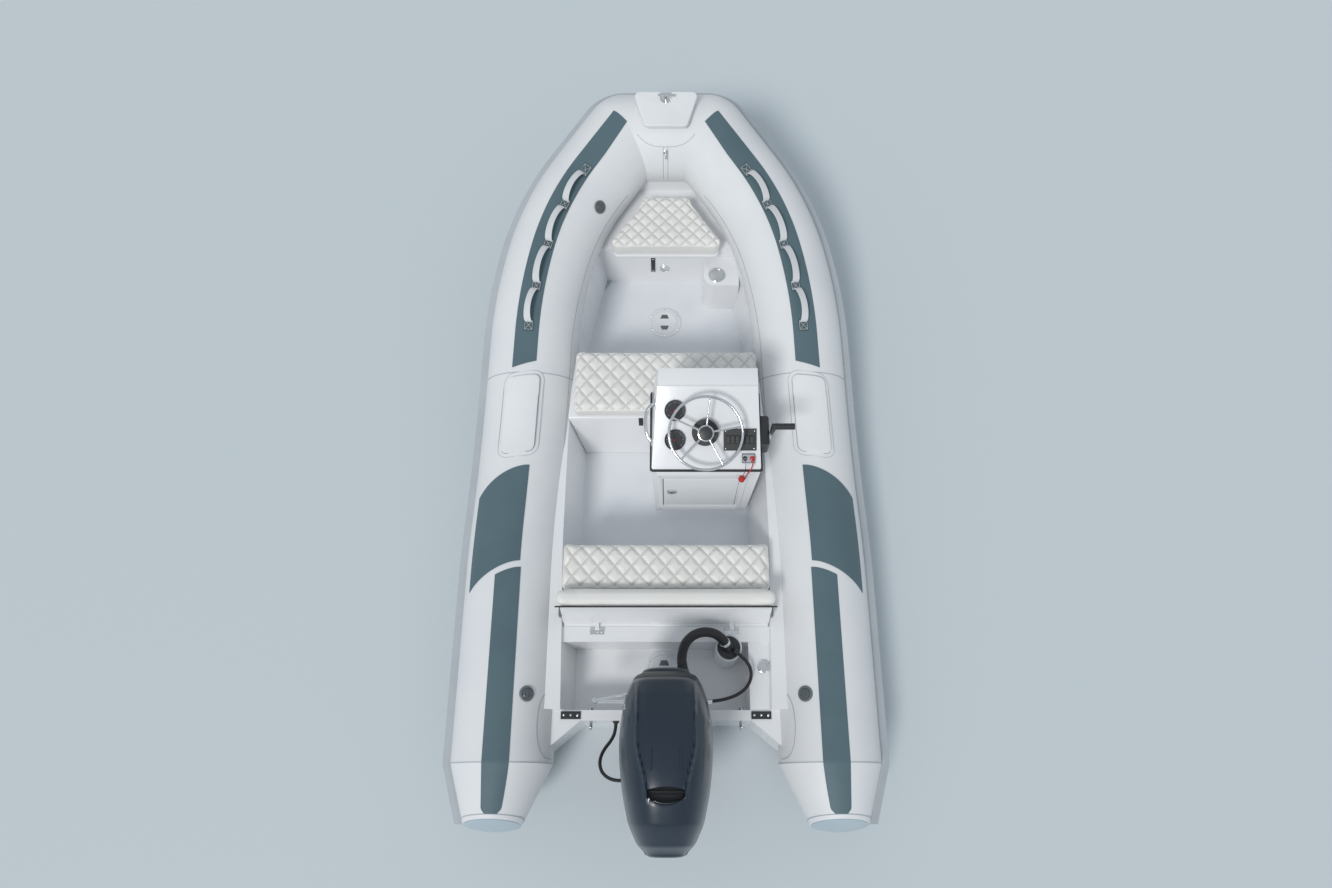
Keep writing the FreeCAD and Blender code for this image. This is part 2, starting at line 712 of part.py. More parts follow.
def make_collar_fittings():
    """Webbing handles, step pads and air valves."""
    skin = collar_skin(FORE_PATH, PATCH_T)
    patches = []
    for y, degrees in HANDLE_PATCHES:
        point, out, along = on_collar(y, degrees)
        half = PATCH_SIZE / 2
        across = along.cross(out).normalize()
        low = point - out * half - along * half - across * half
        corners = [low, low + along * PATCH_SIZE, low + (along + across) * PATCH_SIZE,
                   low + across * PATCH_SIZE]
        patches.append(skin.common(prism(corners, out * PATCH_SIZE)))
    loops = [webbing_loop(a, b).cut(COLLAR_TOOL)
             for a, b in zip(HANDLE_PATCHES, HANDLE_PATCHES[1:])]
    handles = fuse(*patches, *loops)
    save("grab_handles", handles, mirror_x(handles))

    centre = on_collar(sum(STEP_PAD_Y) / 2, STEP_PAD_OUT)[0]
    outline = plan_prism([(centre.x - STEP_PAD_WIDTH / 2, STEP_PAD_Y[0]),
                          (centre.x + STEP_PAD_WIDTH / 2, STEP_PAD_Y[0]),
                          (centre.x + STEP_PAD_WIDTH / 2, STEP_PAD_Y[1]),
                          (centre.x - STEP_PAD_WIDTH / 2, STEP_PAD_Y[1])], TUBE_Z, REACH)
    outline = soften(outline, BOW_LID_CORNER, upright)
    pad = collar_skin(AFT_PATH[2:], STEP_PAD_T).common(outline)
    save("side_step_pads", pad, mirror_x(pad))

    valves = []
    for y, degrees, sides in AIR_VALVES:
        point, out, _ = on_collar(y, degrees, -VALVE_R / 2)
        valve = Part.makeCylinder(VALVE_R, VALVE_R / 2 + VALVE_T, point, out)
        valve = valve.cut(COLLAR_TOOL)
        valves += [valve if side > 0 else mirror_x(valve) for side in sides]
    save("air_valves", *valves)


def hull_body():
    """The whole outside form of the rigid hull and its liner, up to the coaming."""
    wires = []
    for y, keel_z, chine_share, chine_z, top_share in HULL_STATIONS:
        centre_x = collar_at(y)[0].x
        chine_x, top_x = chine_share * centre_x, top_share * centre_x
        outline = [
            V(-top_x, y, HULL_TOP),
            V(-chine_x, y, chine_z),
            V(0, y, keel_z),
            V(chine_x, y, chine_z),
            V(top_x, y, HULL_TOP),
        ]
        wires.append(Part.makePolygon(outline + outline[:1]))
    return Part.makeLoft(wires, True, True)


def spray_rail(share):
    """One rail along the starboard bottom: flat underneath, upright outside."""
    wires = []
    for y, keel_z, chine_share, chine_z, _ in HULL_STATIONS[:RAIL_STATIONS]:
        chine_x = chine_share * collar_at(y)[0].x
        slope = (chine_z - keel_z) / chine_x
        x = share * chine_x
        low, rise = keel_z + slope * x, slope * RAIL_WIDTH
        outline = [V(x, y, low), V(x + RAIL_WIDTH, y, low),
                   V(x + RAIL_WIDTH, y, low + rise + RAIL_ROOT), V(x, y, low + RAIL_ROOT)]
        wires.append(Part.makePolygon(outline + outline[:1]))
    return Part.makeLoft(wires, True, True)


def cockpit_void():
    """The open space of the cockpit, above the sole."""
    wires = []
    over = (HULL_TOP - SOLE_Z) / (COAMING_Z - SOLE_Z)
    for y, sole_gap, top_gap in COCKPIT_STATIONS:
        sole_x = inner_line(y) - sole_gap
        wide = sole_x + (sole_gap - top_gap) * over
        outline = [V(-sole_x, y, SOLE_Z), V(sole_x, y, SOLE_Z), V(wide, y, HULL_TOP),
                   V(-wide, y, HULL_TOP)]
        wires.append(Part.makePolygon(outline + outline[:1]))
    return Part.makeLoft(wires, True, True)


HULL_BODY = hull_body()
VOID = cockpit_void()
ACROSS = (-REACH, REACH)


def between_tubes(outline, z0, z1):
    """A tapered block on the centre line, from (y, gap to the tubes) at its two ends."""
    (y0, gap0), (y1, gap1) = outline
    w0, w1 = inner_line(y0) - gap0, inner_line(y1) - gap1
    return plan_prism([(-w0, y0), (w0, y0), (w1, y1), (-w1, y1)], z0, z1)


def eye_bolt(x, front_y, back_y, z):
    """A bent bar with its legs one above the other, from its nose back to a station."""
    points = [V(x, back_y, z[0]), V(x, front_y, z[0]), V(x, front_y, z[1]), V(x, back_y, z[1])]
    return bent_bar(points, EYE_BAR_R, EYE_BEND_R)


def make_hull():
    """V bottom, sole, moulded sides, bow moulding, transom and the tow eyes."""
    bilge_z = SOLE_Z - SOLE_T
    rails = [spray_rail(share) for share in RAIL_SHARES]
    bottom = HULL_BODY.multiFuse(rails + [mirror_x(rail) for rail in rails])
    save("hull", bottom.common(block(ACROSS, ACROSS, (-REACH, bilge_z))))
    floor = block(ACROSS, (INSIDE_Y, REACH), (bilge_z, SOLE_Z))
    save("cockpit_sole", HULL_BODY.common(floor).cut(COLLAR_TOOL))
    sides = block((0, REACH), (INSIDE_Y, BOW_FACE_Y), (SOLE_Z, COAMING_Z))
    side = largest(HULL_BODY.common(sides).cut(VOID).cut(COLLAR_TOOL))
    save("side_starboard", side)
    save("side_port", mirror_x(side))

    bow = HULL_BODY.common(block(ACROSS, (BOW_FACE_Y, REACH), (SOLE_Z, LOCKER_TOP)))
    bow = largest(bow.cut(COLLAR_TOOL))
    bow = bow.cut(between_tubes(LOCKER_CAVITY, LOCKER_FLOOR, REACH))
    (step_aft, aft_half), (step_fore, fore_half) = STEP_OUTLINE
    step = plan_prism([(-aft_half, step_aft), (aft_half, step_aft), (fore_half, step_fore),
                       (-fore_half, step_fore)], LOCKER_TOP, STEP_TOP)
    save("bow_moulding", fuse(bow, largest(step.cut(COLLAR_TOOL))))

    top = 0.5 * (HULL_STATIONS[0][2] + HULL_STATIONS[0][4]) * TUBE_X
    board = block((-top, top), (TRANSOM_Y, INSIDE_Y), (bilge_z, TRANSOM_TOP))
    board = largest(board.cut(COLLAR_TOOL))
    wing = plan_prism([(WING_FOOT_X, TRANSOM_Y), (WING_FOOT_X + WING_RAKE, TRANSOM_Y),
                       (WING_FOOT_X + WING_RAKE, TRANSOM_Y - WING_LEN)], bilge_z, TRANSOM_TOP)
    wing = largest(wing.cut(COLLAR_TOOL))
    save("transom", fuse(board, wing, mirror_x(wing)))

    bow_eye = eye_bolt(0, BOW_EYE_Y - EYE_BAR_R, BOW_EYE_Y - EYE_LEG, BOW_EYE_Z)
    eyes = [max(bow_eye.cut(HULL_BODY).Solids, key=lambda s: s.BoundBox.YMax)]
    for x in (-STERN_EYE_X, STERN_EYE_X):
        eyes.append(eye_bolt(x, TRANSOM_Y - STERN_EYE_REACH, TRANSOM_Y, STERN_EYE_Z))
        eyes += [Part.makeCylinder(NUT_R, NUT_T, V(x, INSIDE_Y, z), Y_AXIS)
                 for z in STERN_EYE_Z]
    save("tow_eyes", *eyes)


def make_bow_pieces():
    """Locker lid with its cushion, cup holder pod, latch, step pad and cleat."""
    lid_top = LOCKER_TOP + BOW_LID_T
    lid = between_tubes(BOW_LID_OUTLINE, LOCKER_TOP + SEAT, lid_top)
    save("bow_locker_lid", soften(lid, BOW_LID_CORNER, upright))
    cushion = between_tubes(BOW_CUSHION_OUTLINE, lid_top + SEAT, lid_top + BOW_CUSHION_T)
    cushion = soften(cushion, BOW_CUSHION_CORNER, upright)
    cushion = soften(cushion, SEAT_EDGE_R,
                     lambda e: e.BoundBox.ZMin > lid_top + BOW_CUSHION_T / 2)
    save("bow_cushion", cushion)
    latch = Part.makeCylinder(LATCH_R, LATCH_T, V(LATCH_X, BOW_FACE_Y, LATCH_Z), Y_AXIS * -1)
    save("bow_locker_latch", soften(latch, 2, lambda e: e.BoundBox.YMax < BOW_FACE_Y - 1))

    pod = block(POD_X, POD_Y, (SOLE_Z, POD_TOP))
    pod = soften(pod, POD_CORNER, lambda e: upright(e) and e.BoundBox.XMax < POD_X[0] + 1
                 and e.BoundBox.YMax < POD_Y[0] + 1)
    cup = V(CUP_X, CUP_Y, POD_TOP - CUP_DEPTH)
    rim = Part.makeCylinder(CUP_RIM_R, CUP_RIM_T, V(CUP_X, CUP_Y, POD_TOP))
    pod = fuse(pod.common(VOID), rim)
    save("cup_holder_pod", pod.cut(Part.makeCylinder(CUP_R, 2 * CUP_DEPTH, cup)))

    crown = V(0, CORNER.y, CORNER.z) + CORNER_UP * TUBE_R

    def slab(inset, low, high):
        (aft, aft_half), (fore, fore_half) = PAD_AFT, PAD_FORE
        plan = [(-aft_half + inset, aft + inset), (aft_half - inset, aft + inset),
                (fore_half - inset, fore - inset), (-fore_half + inset, fore - inset)]
        points = [crown + X_AXIS * x + BOW_AHEAD * y + CORNER_UP * low for x, y in plan]
        return prism(points, CORNER_UP * (high - low))

    def rising(edge):
        first, last = edge.Vertexes[0].Point, edge.Vertexes[-1].Point
        return abs((last - first).dot(CORNER_UP)) > 0.5 * edge.Length

    plate = soften(slab(0, PAD_FOOT_RISE, PAD_RISE), PAD_CORNER, rising)
    stand = crown + BOW_AHEAD * (PAD_FORE[0] - NOTCH_BACK) + CORNER_UP * PAD_FOOT_RISE
    plate = plate.cut(Part.makeCylinder(NOTCH_R, PAD_RISE, stand, CORNER_UP))
    low = stand - X_AXIS * NOTCH_R
    plate = plate.cut(prism([low, low + X_AXIS * (2 * NOTCH_R),
                             low + X_AXIS * (2 * NOTCH_R) + BOW_AHEAD * PAD_FORE[0],
                             low + BOW_AHEAD * PAD_FORE[0]], CORNER_UP * PAD_RISE))
    plate = soften(plate, PAD_EDGE_R, lambda e: min(
        (v.Point - crown).dot(CORNER_UP) for v in e.Vertexes) > PAD_RISE - 0.1)
    foot = soften(slab(PAD_FOOT_INSET, -TUBE_R / 2, PAD_FOOT_RISE), PAD_CORNER, rising)
    save("bow_step_pad", fuse(plate, largest(foot.cut(COLLAR_TOOL))))
    head = stand + CORNER_UP * CLEAT_HEIGHT
    half_bar = X_AXIS * (CLEAT_LEN / 2)
    foot_disc = Part.makeCylinder(CLEAT_FOOT_R, CLEAT_FOOT_T, stand, CORNER_UP)
    save("bow_cleat", fuse(foot_disc, rod(CLEAT_POST_R, stand, head),
                           rod(CLEAT_BAR_R, head - half_bar, head + half_bar)))


def make_mid_bench():
    """Fixed bench between the cockpits."""
    outline = [
        (MID_BASE_AFT_FOOT, SOLE_Z),
        (MID_BASE_FWD, SOLE_Z),
        (MID_BASE_FWD, MID_BASE_TOP),
        (MID_BASE_AFT_TOP, MID_BASE_TOP),
    ]
    base = side_prism(outline, *ACROSS).common(VOID).cut(COLLAR_TOOL)
    save("mid_bench_base", largest(base))
    half = BETWEEN_TUBES - BENCH_GAP
    top = MID_BASE_TOP + MID_CUSHION_T
    cushion = block((-half, half), MID_CUSHION_Y, (MID_BASE_TOP + SEAT, top))
    cushion = soften(cushion, SEAT_EDGE_R, lambda e: e.BoundBox.ZMax > top - 1)
    save("mid_bench_cushion", cushion.cut(COLLAR_TOOL))


def dash_z(y):
    """Height of the dash's slope at a station."""
    return DASH_FOOT_Z + (y - DASH_FOOT_Y) * math.tan(math.radians(DASH_SLOPE))


def dash_point(x, y, lift=0.0):
    """A point on the sloping dash, or lifted off it along its normal."""
    return V(x, y, dash_z(y)) + DASH_NORMAL * lift


def dash_plate(x, y, size, thick):
    """A flat plate that lies on the dash."""
    wide, tall = size
    low = dash_point(x, y, SEAT) - X_AXIS * (wide / 2) - DASH_ALONG * (tall / 2)
    corners = [low, low + X_AXIS * wide, low + X_AXIS * wide + DASH_ALONG * tall,
               low + DASH_ALONG * tall]
    return prism(corners, DASH_NORMAL * thick)


def console_form(inset):
    """The console's outside form, or the hollow inside it."""
    head_y, head_z = DASH_HEAD_Y, dash_z(DASH_HEAD_Y)
    outline = [
        (CONSOLE_AFT_Y + inset, SOLE_Z + inset),
        (CONSOLE_AFT_Y + inset, CONSOLE_GASKET_Z - inset * GASKET_DROP),
        (DASH_FOOT_Y + inset * DASH_BACK, DASH_FOOT_Z - inset),
        (head_y + inset * DASH_BACK, head_z - inset),
        (head_y + inset * DASH_BACK, head_z + CONSOLE_CAP_RISE - inset),
        (CONSOLE_CAP_Y - inset, head_z + CONSOLE_CAP_RISE + CONSOLE_CAP_FALL - inset),
        (CONSOLE_FRONT_KNEE[0] - inset, CONSOLE_FRONT_KNEE[1]),
        (CONSOLE_FRONT_FOOT_Y - inset, SOLE_Z + inset),
    ]
    taper = [
        (CONSOLE_FOOT_X[0] + inset, SOLE_Z),
        (CONSOLE_FOOT_X[1] - inset, SOLE_Z),
        (CONSOLE_X[1] - inset, CONSOLE_GASKET_Z),
        (CONSOLE_TOP_X[1] - inset, CONSOLE_TALLEST),
        (CONSOLE_TOP_X[0] + inset, CONSOLE_TALLEST),
        (CONSOLE_X[0] + inset, CONSOLE_GASKET_Z),
    ]
    return side_prism(outline, *ACROSS).common(front_prism(taper, *ACROSS))


def make_console():
    """Console shell with its door and grab rail."""
    face = CONSOLE_AFT_Y - DOOR_T
    shell = console_form(0).cut(console_form(CONSOLE_WALL))
    opening = block((DOOR_X[0] - DOOR_GAP, DOOR_X[1] + DOOR_GAP),
                    (face - DOOR_T, CONSOLE_AFT_Y + DOORWAY_DEPTH),
                    (DOOR_Z[0] - DOOR_GAP, DOOR_Z[1] + DOOR_GAP))
    save("console", shell.cut(opening))
    frame = block(DOOR_FRAME_X, (face, CONSOLE_AFT_Y), DOOR_FRAME_Z)
    knuckle_x = DOOR_X[1] + SEAT + DOOR_KNUCKLE_R
    knuckle = rod(DOOR_KNUCKLE_R, V(knuckle_x, face, DOOR_Z[0] + DOOR_KNUCKLE_SHORT),
                  V(knuckle_x, face, DOOR_Z[1] - DOOR_KNUCKLE_SHORT))
    save("door_frame", fuse(frame.cut(opening), knuckle))
    save("console_door", block(DOOR_X, (face, CONSOLE_AFT_Y), DOOR_Z))
    latch = V(DOOR_LATCH_X, face - SEAT, DOOR_LATCH_Z)
    save("console_door_latch",
         Part.makeCylinder(DOOR_LATCH_R, DOOR_LATCH_T, latch, Y_AXIS * -1))
    rail = bent_bar([V(*p) for p in GRAB_RAIL_POINTS], GRAB_RAIL_R, GRAB_RAIL_BEND)
    save("grab_rail", rail.cut(console_form(0)))


def make_helm():
    """Instruments, steering wheel and throttle."""
    gauges = [Part.makeCylinder(GAUGE_R, GAUGE_T, dash_point(GAUGE_X, y, SEAT), DASH_NORMAL)
              for y in GAUGE_Y]
    save("dash_instruments", *gauges, dash_plate(SWITCH_X, SWITCH_Y, SWITCH_SIZE, PANEL_T),
         dash_plate(IGNITION_X, IGNITION_Y, IGNITION_SIZE, PANEL_T))
    foot = dash_point(WHEEL_X, WHEEL_Y, SEAT)
    helm = Part.makeCylinder(HELM_R, HELM_T, foot, DASH_NORMAL)
    bore = Part.makeCylinder(SHAFT_R + RUNNING, 2 * HELM_T, foot, DASH_NORMAL)
    save("helm_base", helm.cut(bore))

    centre = dash_point(WHEEL_X, WHEEL_Y, WHEEL_STAND_OFF)
    rim_radius = WHEEL_R - WHEEL_RIM_R
    hub_foot = centre - DASH_NORMAL * (HUB_T - WHEEL_DISH)
    shaft_foot = dash_point(WHEEL_X, WHEEL_Y, SHAFT_FOOT)
    wheel = [Part.makeTorus(rim_radius, WHEEL_RIM_R, centre, DASH_NORMAL),
             Part.makeCylinder(HUB_R, HUB_T, hub_foot, DASH_NORMAL),
             rod(SHAFT_R, shaft_foot, centre)]
    for k in range(WHEEL_SPOKES):
        arm = turned(DASH_ALONG, DASH_NORMAL, 360 / WHEEL_SPOKES * k)
        root = centre - DASH_NORMAL * WHEEL_DISH + arm * (HUB_R - SPOKE_R)
        wheel.append(rod(SPOKE_R, root, centre + arm * rim_radius))
    save("steering_wheel", fuse(*wheel))

    side = CONSOLE_X[1] + THROTTLE_REACH
    box = block((CONSOLE_TOP_X[0], side), THROTTLE_Y, THROTTLE_Z)
    box = soften(box, THROTTLE_CORNER, lambda e: e.BoundBox.XMin > side - 1)
    box = largest(box.cut(console_form(0)))
    pivot = V(side, LEVER_FOOT_Y, LEVER_FOOT_Z)
    head = pivot + V(LEVER_T, LEVER_LEAN, LEVER_LEN)
    boss = Part.makeCylinder(LEVER_BOSS_R, LEVER_T, pivot, X_AXIS)
    lever = side_prism([(pivot.y - LEVER_HALF, pivot.z), (pivot.y + LEVER_HALF, pivot.z),
                        (head.y + LEVER_HALF, head.z), (head.y - LEVER_HALF, head.z)],
                       side + LEVER_T / 2, side + 1.5 * LEVER_T)
    grip = rod(GRIP_R, head - X_AXIS * (LEVER_T / 2), head + X_AXIS * GRIP_LEN)
    save("throttle", fuse(box, boss, lever, grip))


def make_aft_bench():
    """Stowage base, hinged lid with its back panel, cushion, bolster and hinges."""
    y0, y1 = AFT_BASE_Y
    half = BETWEEN_TUBES - AFT_BENCH_GAP
    outer = block((-half, half), AFT_BASE_Y, (SOLE_Z, AFT_BASE_TOP)).common(VOID)
    inner = block((-half + BASE_END_WALL, half - BASE_END_WALL),
                  (y0 + BASE_WALL, y1 - BASE_WALL), (SOLE_Z + BASE_WALL, REACH))
    save("aft_bench_base", outer.cut(inner))
    lid_z = AFT_BASE_TOP + AFT_LID_GAP
    top = lid_z + AFT_LID_T
    back_y = y0 + AFT_LID_BACK
    panel_top = BOLSTER_TOP - BACK_PANEL_DROP
    lid = block((-half, half), (back_y, y1 + AFT_LID_LIP), (lid_z, top))
    back = side_prism([(back_y, top), (back_y + BACK_PANEL_T, top), (BOLSTER_Y[0], panel_top),
                       (BOLSTER_Y[0] - BACK_PANEL_T, panel_top)], -half, half)
    axis_z = AFT_BASE_TOP + HINGE_LIFT + HINGE_KNUCKLE_R
    knuckles = []
    hinges = []
    for x in HINGE_X:
        ends = [V(x + reach, AFT_HINGE_Y, axis_z) for reach in
                (-HINGE_HALF, -HINGE_MIDDLE - HINGE_LIFT, HINGE_MIDDLE + HINGE_LIFT, HINGE_HALF)]
        leaf = block((x - HINGE_HALF, x + HINGE_HALF),
                     (AFT_HINGE_Y - HINGE_LEAF_LEN, AFT_HINGE_Y),
                     (AFT_BASE_TOP, AFT_BASE_TOP + HINGE_LEAF_T))
        leaf = leaf.cut(rod(HINGE_KNUCKLE_R + HINGE_LIFT, ends[1], ends[2]))
        hinges.append(fuse(leaf, rod(HINGE_KNUCKLE_R, ends[0], ends[1]),
                           rod(HINGE_KNUCKLE_R, ends[2], ends[3]),
                           rod(HINGE_PIN_R, ends[0], ends[3])))
        strap = block((x - HINGE_MIDDLE, x + HINGE_MIDDLE), (AFT_HINGE_Y, back_y + SEAT),
                      (axis_z - HINGE_PIN_R, axis_z + HINGE_KNUCKLE_R))
        middle = rod(HINGE_KNUCKLE_R, V(x - HINGE_MIDDLE, AFT_HINGE_Y, axis_z),
                     V(x + HINGE_MIDDLE, AFT_HINGE_Y, axis_z))
        knuckles.append(fuse(middle, strap).cut(rod(HINGE_PIN_R + RUNNING, ends[0], ends[3])))
    save("lid_hinges", *hinges)
    save("aft_seat_lid", fuse(lid, back, *knuckles))
    seat = BETWEEN_TUBES - AFT_CUSHION_GAP
    cushion = block((-seat, seat), AFT_CUSHION_Y, (top + SEAT, top + AFT_CUSHION_T))
    save("aft_seat_cushion", soften(cushion, SEAT_EDGE_R,
                                    lambda e: e.BoundBox.ZMax > top + AFT_CUSHION_T - 1))
    wide = half + BOLSTER_OVERHANG
    bolster = side_prism([(BOLSTER_Y[0] + BOLSTER_FOOT, top + BOLSTER_FOOT),
                          (BOLSTER_Y[1], top + SEAT),
                          (BOLSTER_Y[1], BOLSTER_TOP - BOLSTER_CHAMFER),
                          (BOLSTER_Y[1] - BOLSTER_CHAMFER, BOLSTER_TOP),
                          (BOLSTER_Y[0] + SEAT, BOLSTER_TOP)], -wide, wide)
    save("aft_bolster", largest(bolster.cut(back)))


def make_splash_well():
    """Shelf behind the bench, the well, and what is fitted there and on the transom."""
    y0 = AFT_BASE_Y[0]
    boss = Part.makeCylinder(RIGGING_BOSS_R, AFT_BASE_TOP - SOLE_Z,
                             V(RIGGING_X, RIGGING_Y, SOLE_Z))
    shelf = block(ACROSS, (SHELF_AFT_Y, y0), (SOLE_Z, AFT_BASE_TOP))
    starboard = block((WELL_STARBOARD_X, REACH), (INSIDE_Y, SHELF_AFT_Y),
                      (SOLE_Z, AFT_BASE_TOP - WELL_STARBOARD_DROP))
    floor = block(ACROSS, (INSIDE_Y, SHELF_AFT_Y), (SOLE_Z, WELL_FLOOR_Z))
    save("splash_well", fuse(shelf, boss, starboard, floor).common(VOID))

    hatch = [Part.makeCylinder(DECK_PLATE_R, DECK_PLATE_T, V(*p)) for p in DECK_PLATES]
    filler = Part.makeCylinder(FILLER_R, FILLER_T,
                               V(FILLER_X, FILLER_Y, AFT_BASE_TOP - WELL_STARBOARD_DROP))
    save("deck_plates", *hatch, filler)

    foot = V(RIGGING_X, RIGGING_Y, AFT_BASE_TOP)
    flange = Part.makeCylinder(RIGGING_R, RIGGING_T, foot)
    mouth, ahead = V(*RIGGING_HOSE[0]), V(*RIGGING_HOSE[1])
    post = rod(RIGGING_POST_R, mouth * 3 - ahead * 2, mouth)
    post = post.common(block(ACROSS, ACROSS, (AFT_BASE_TOP, REACH)))
    mouth, ahead = V(*STEERING_CABLE[0]), V(*STEERING_CABLE[1])
    gland = rod(GLAND_R, mouth - (ahead - mouth).normalize() * GLAND_LEN, mouth)
    fittings = [fuse(flange, post, gland)]
    wide, deep = PLATE_SIZE
    middle = TRANSOM_Y + TRANSOM_T / 2
    for x in (-PLATE_X, PLATE_X):
        fittings.append(block((x - wide / 2, x + wide / 2),
                              (middle - deep / 2, middle + deep / 2),
                              (TRANSOM_TOP, TRANSOM_TOP + PLATE_T)))
    save("stern_fittings", *fittings)


def rounded_section(y, half, low, high):
    """Closed cross-section of the cowl: flat foot, upright sides, round shoulders."""
    corner = min(COWL_SHOULDER, half * SHOULDER_LIMITS[0], (high - low) * SHOULDER_LIMITS[1])
    left, right = V(-half, y, low), V(half, y, low)
    left_top, right_top = V(-half, y, high - corner), V(half, y, high - corner)
    top_left, top_right = V(-half + corner, y, high), V(half - corner, y, high)
    slant = corner * (1 - math.sqrt(0.5))
    edges = [
        Part.LineSegment(left, right).toShape(),
        Part.LineSegment(right, right_top).toShape(),
        Part.Arc(right_top, V(half - slant, y, high - slant), top_right).toShape(),
        Part.LineSegment(top_right, top_left).toShape(),
        Part.Arc(top_left, V(-half + slant, y, high - slant), left_top).toShape(),
        Part.LineSegment(left_top, left).toShape(),
    ]
    return Part.Wire(edges)


def cowl_form():
    """Outside form of the cowl and its pan together."""
    sections = [rounded_section(SWIVEL_Y + ahead, half, COWL_BASE_Z, COWL_BASE_Z + height)
                for ahead, half, height in COWL_STATIONS]
    return Part.makeLoft(sections, True, False)


COWL_FORM = cowl_form()


def make_hoses():
    """The rigging hose, which ends on the cowl pan, the steering cable and the fuel hose."""
    for name, points, radius in (("rigging_hose", RIGGING_HOSE, HOSE_R),
                                 ("steering_cable", STEERING_CABLE, CABLE_R),
                                 ("fuel_hose", FUEL_HOSE, CABLE_R)):
        path = [V(*p) for p in points]
        arcs = [e.Curve.Radius for e in bar_path(path).Edges if hasattr(e.Curve, "Radius")]
        print(name, "arc radii", [round(r) for r in arcs])
        save(name, largest(bent_bar(path, radius).cut(COWL_FORM)))


def make_brackets():
    """Clamp and swivel brackets, and the steering rod that runs in the tilt tube."""
    arm_y, arm_z = TILT_Y + CLAMP_HALF, (TILT_Z - CLAMP_HALF, TILT_Z + CLAMP_HALF)
    clamp = [(INSIDE_Y + CLAMP_GAP, CLAMP_ARM_Z), (arm_y, arm_z[0]),
             (arm_y, arm_z[1] - CLAMP_CHAMFER), (arm_y - CLAMP_CHAMFER, arm_z[1]),
             (TRANSOM_Y - CLAMP_BACK / 2, arm_z[1]), (TRANSOM_Y - CLAMP_BACK, TRANSOM_TOP),
             (TRANSOM_Y - CLAMP_BACK, CLAMP_FOOT_Z), (TRANSOM_Y, CLAMP_FOOT_Z),
             (TRANSOM_Y, TRANSOM_TOP), (INSIDE_Y, TRANSOM_TOP), (INSIDE_Y, CLAMP_ARM_Z)]
    cheek = side_prism(clamp, CLAMP_X, CLAMP_X + CLAMP_T)
    tube_end = V(CLAMP_X + CLAMP_T + TILT_TUBE_PROUD, TILT_Y, TILT_Z)
    other_end = V(-tube_end.x, TILT_Y, TILT_Z)
    bracket = fuse(cheek, mirror_x(cheek), rod(TILT_R, other_end, tube_end))
    bore_start, bore_end = V(-REACH, TILT_Y, TILT_Z), V(tube_end.x - 1, TILT_Y, TILT_Z)
    save("clamp_bracket", bracket.cut(rod(RAM_R + RUNNING, bore_start, bore_end)))

    arm_top = SWIVEL_Z[1] + ARM_LIFT + STEER_ARM_T
    eye = V(0, SWIVEL_Y + STEER_ARM_LEN, arm_top + LINK_LIFT)
    ram_end = V(RAM_END_X[0], TILT_Y, TILT_Z)
    knee = V(RAM_END_X[0], TILT_Y, eye.z)
    post = rod(RAM_POST_R, ram_end - Z_AXIS * RAM_POST_R, knee + Z_AXIS * RAM_POST_R)
    ring = Part.makeCylinder(LINK_EYE_R, LINK_EYE_T, eye - Z_AXIS * (LINK_EYE_T / 2))
    save("steering_ram", fuse(rod(RAM_R, ram_end, V(RAM_END_X[1], TILT_Y, TILT_Z)), post,
                              rod(LINK_R, knee, eye), ring))

    gap = CLAMP_X - YOKE_GAP
    yoke = side_prism([(TILT_Y + SWIVEL_NOSE, TILT_Z + SWIVEL_NOSE_Z[0]),
                       (TILT_Y + SWIVEL_NOSE, TILT_Z + SWIVEL_NOSE_Z[1]),
                       (SWIVEL_Y, TILT_Z + CLAMP_HALF), (SWIVEL_Y, SWIVEL_FOOT_Z),
                       (SWIVEL_Y + SWIVEL_R + SWIVEL_WEB, SWIVEL_FOOT_Z),
                       (TRANSOM_Y - CLAMP_BACK / 3, TRANSOM_TOP + SWING),
                       (TILT_Y, TRANSOM_TOP + SWING)], -gap, gap)
    pin_foot = V(0, SWIVEL_Y, SWIVEL_Z[0])
    tube = Part.makeCylinder(SWIVEL_R, SWIVEL_Z[1] - SWIVEL_Z[0], pin_foot)
    tilt_bore = rod(TILT_R + RUNNING, V(-REACH, TILT_Y, TILT_Z), V(REACH, TILT_Y, TILT_Z))
    king_bore = rod(KING_R + RUNNING, V(0, SWIVEL_Y, -REACH), V(0, SWIVEL_Y, REACH))
    save("swivel_bracket", fuse(yoke, tube).cut(tilt_bore).cut(king_bore))


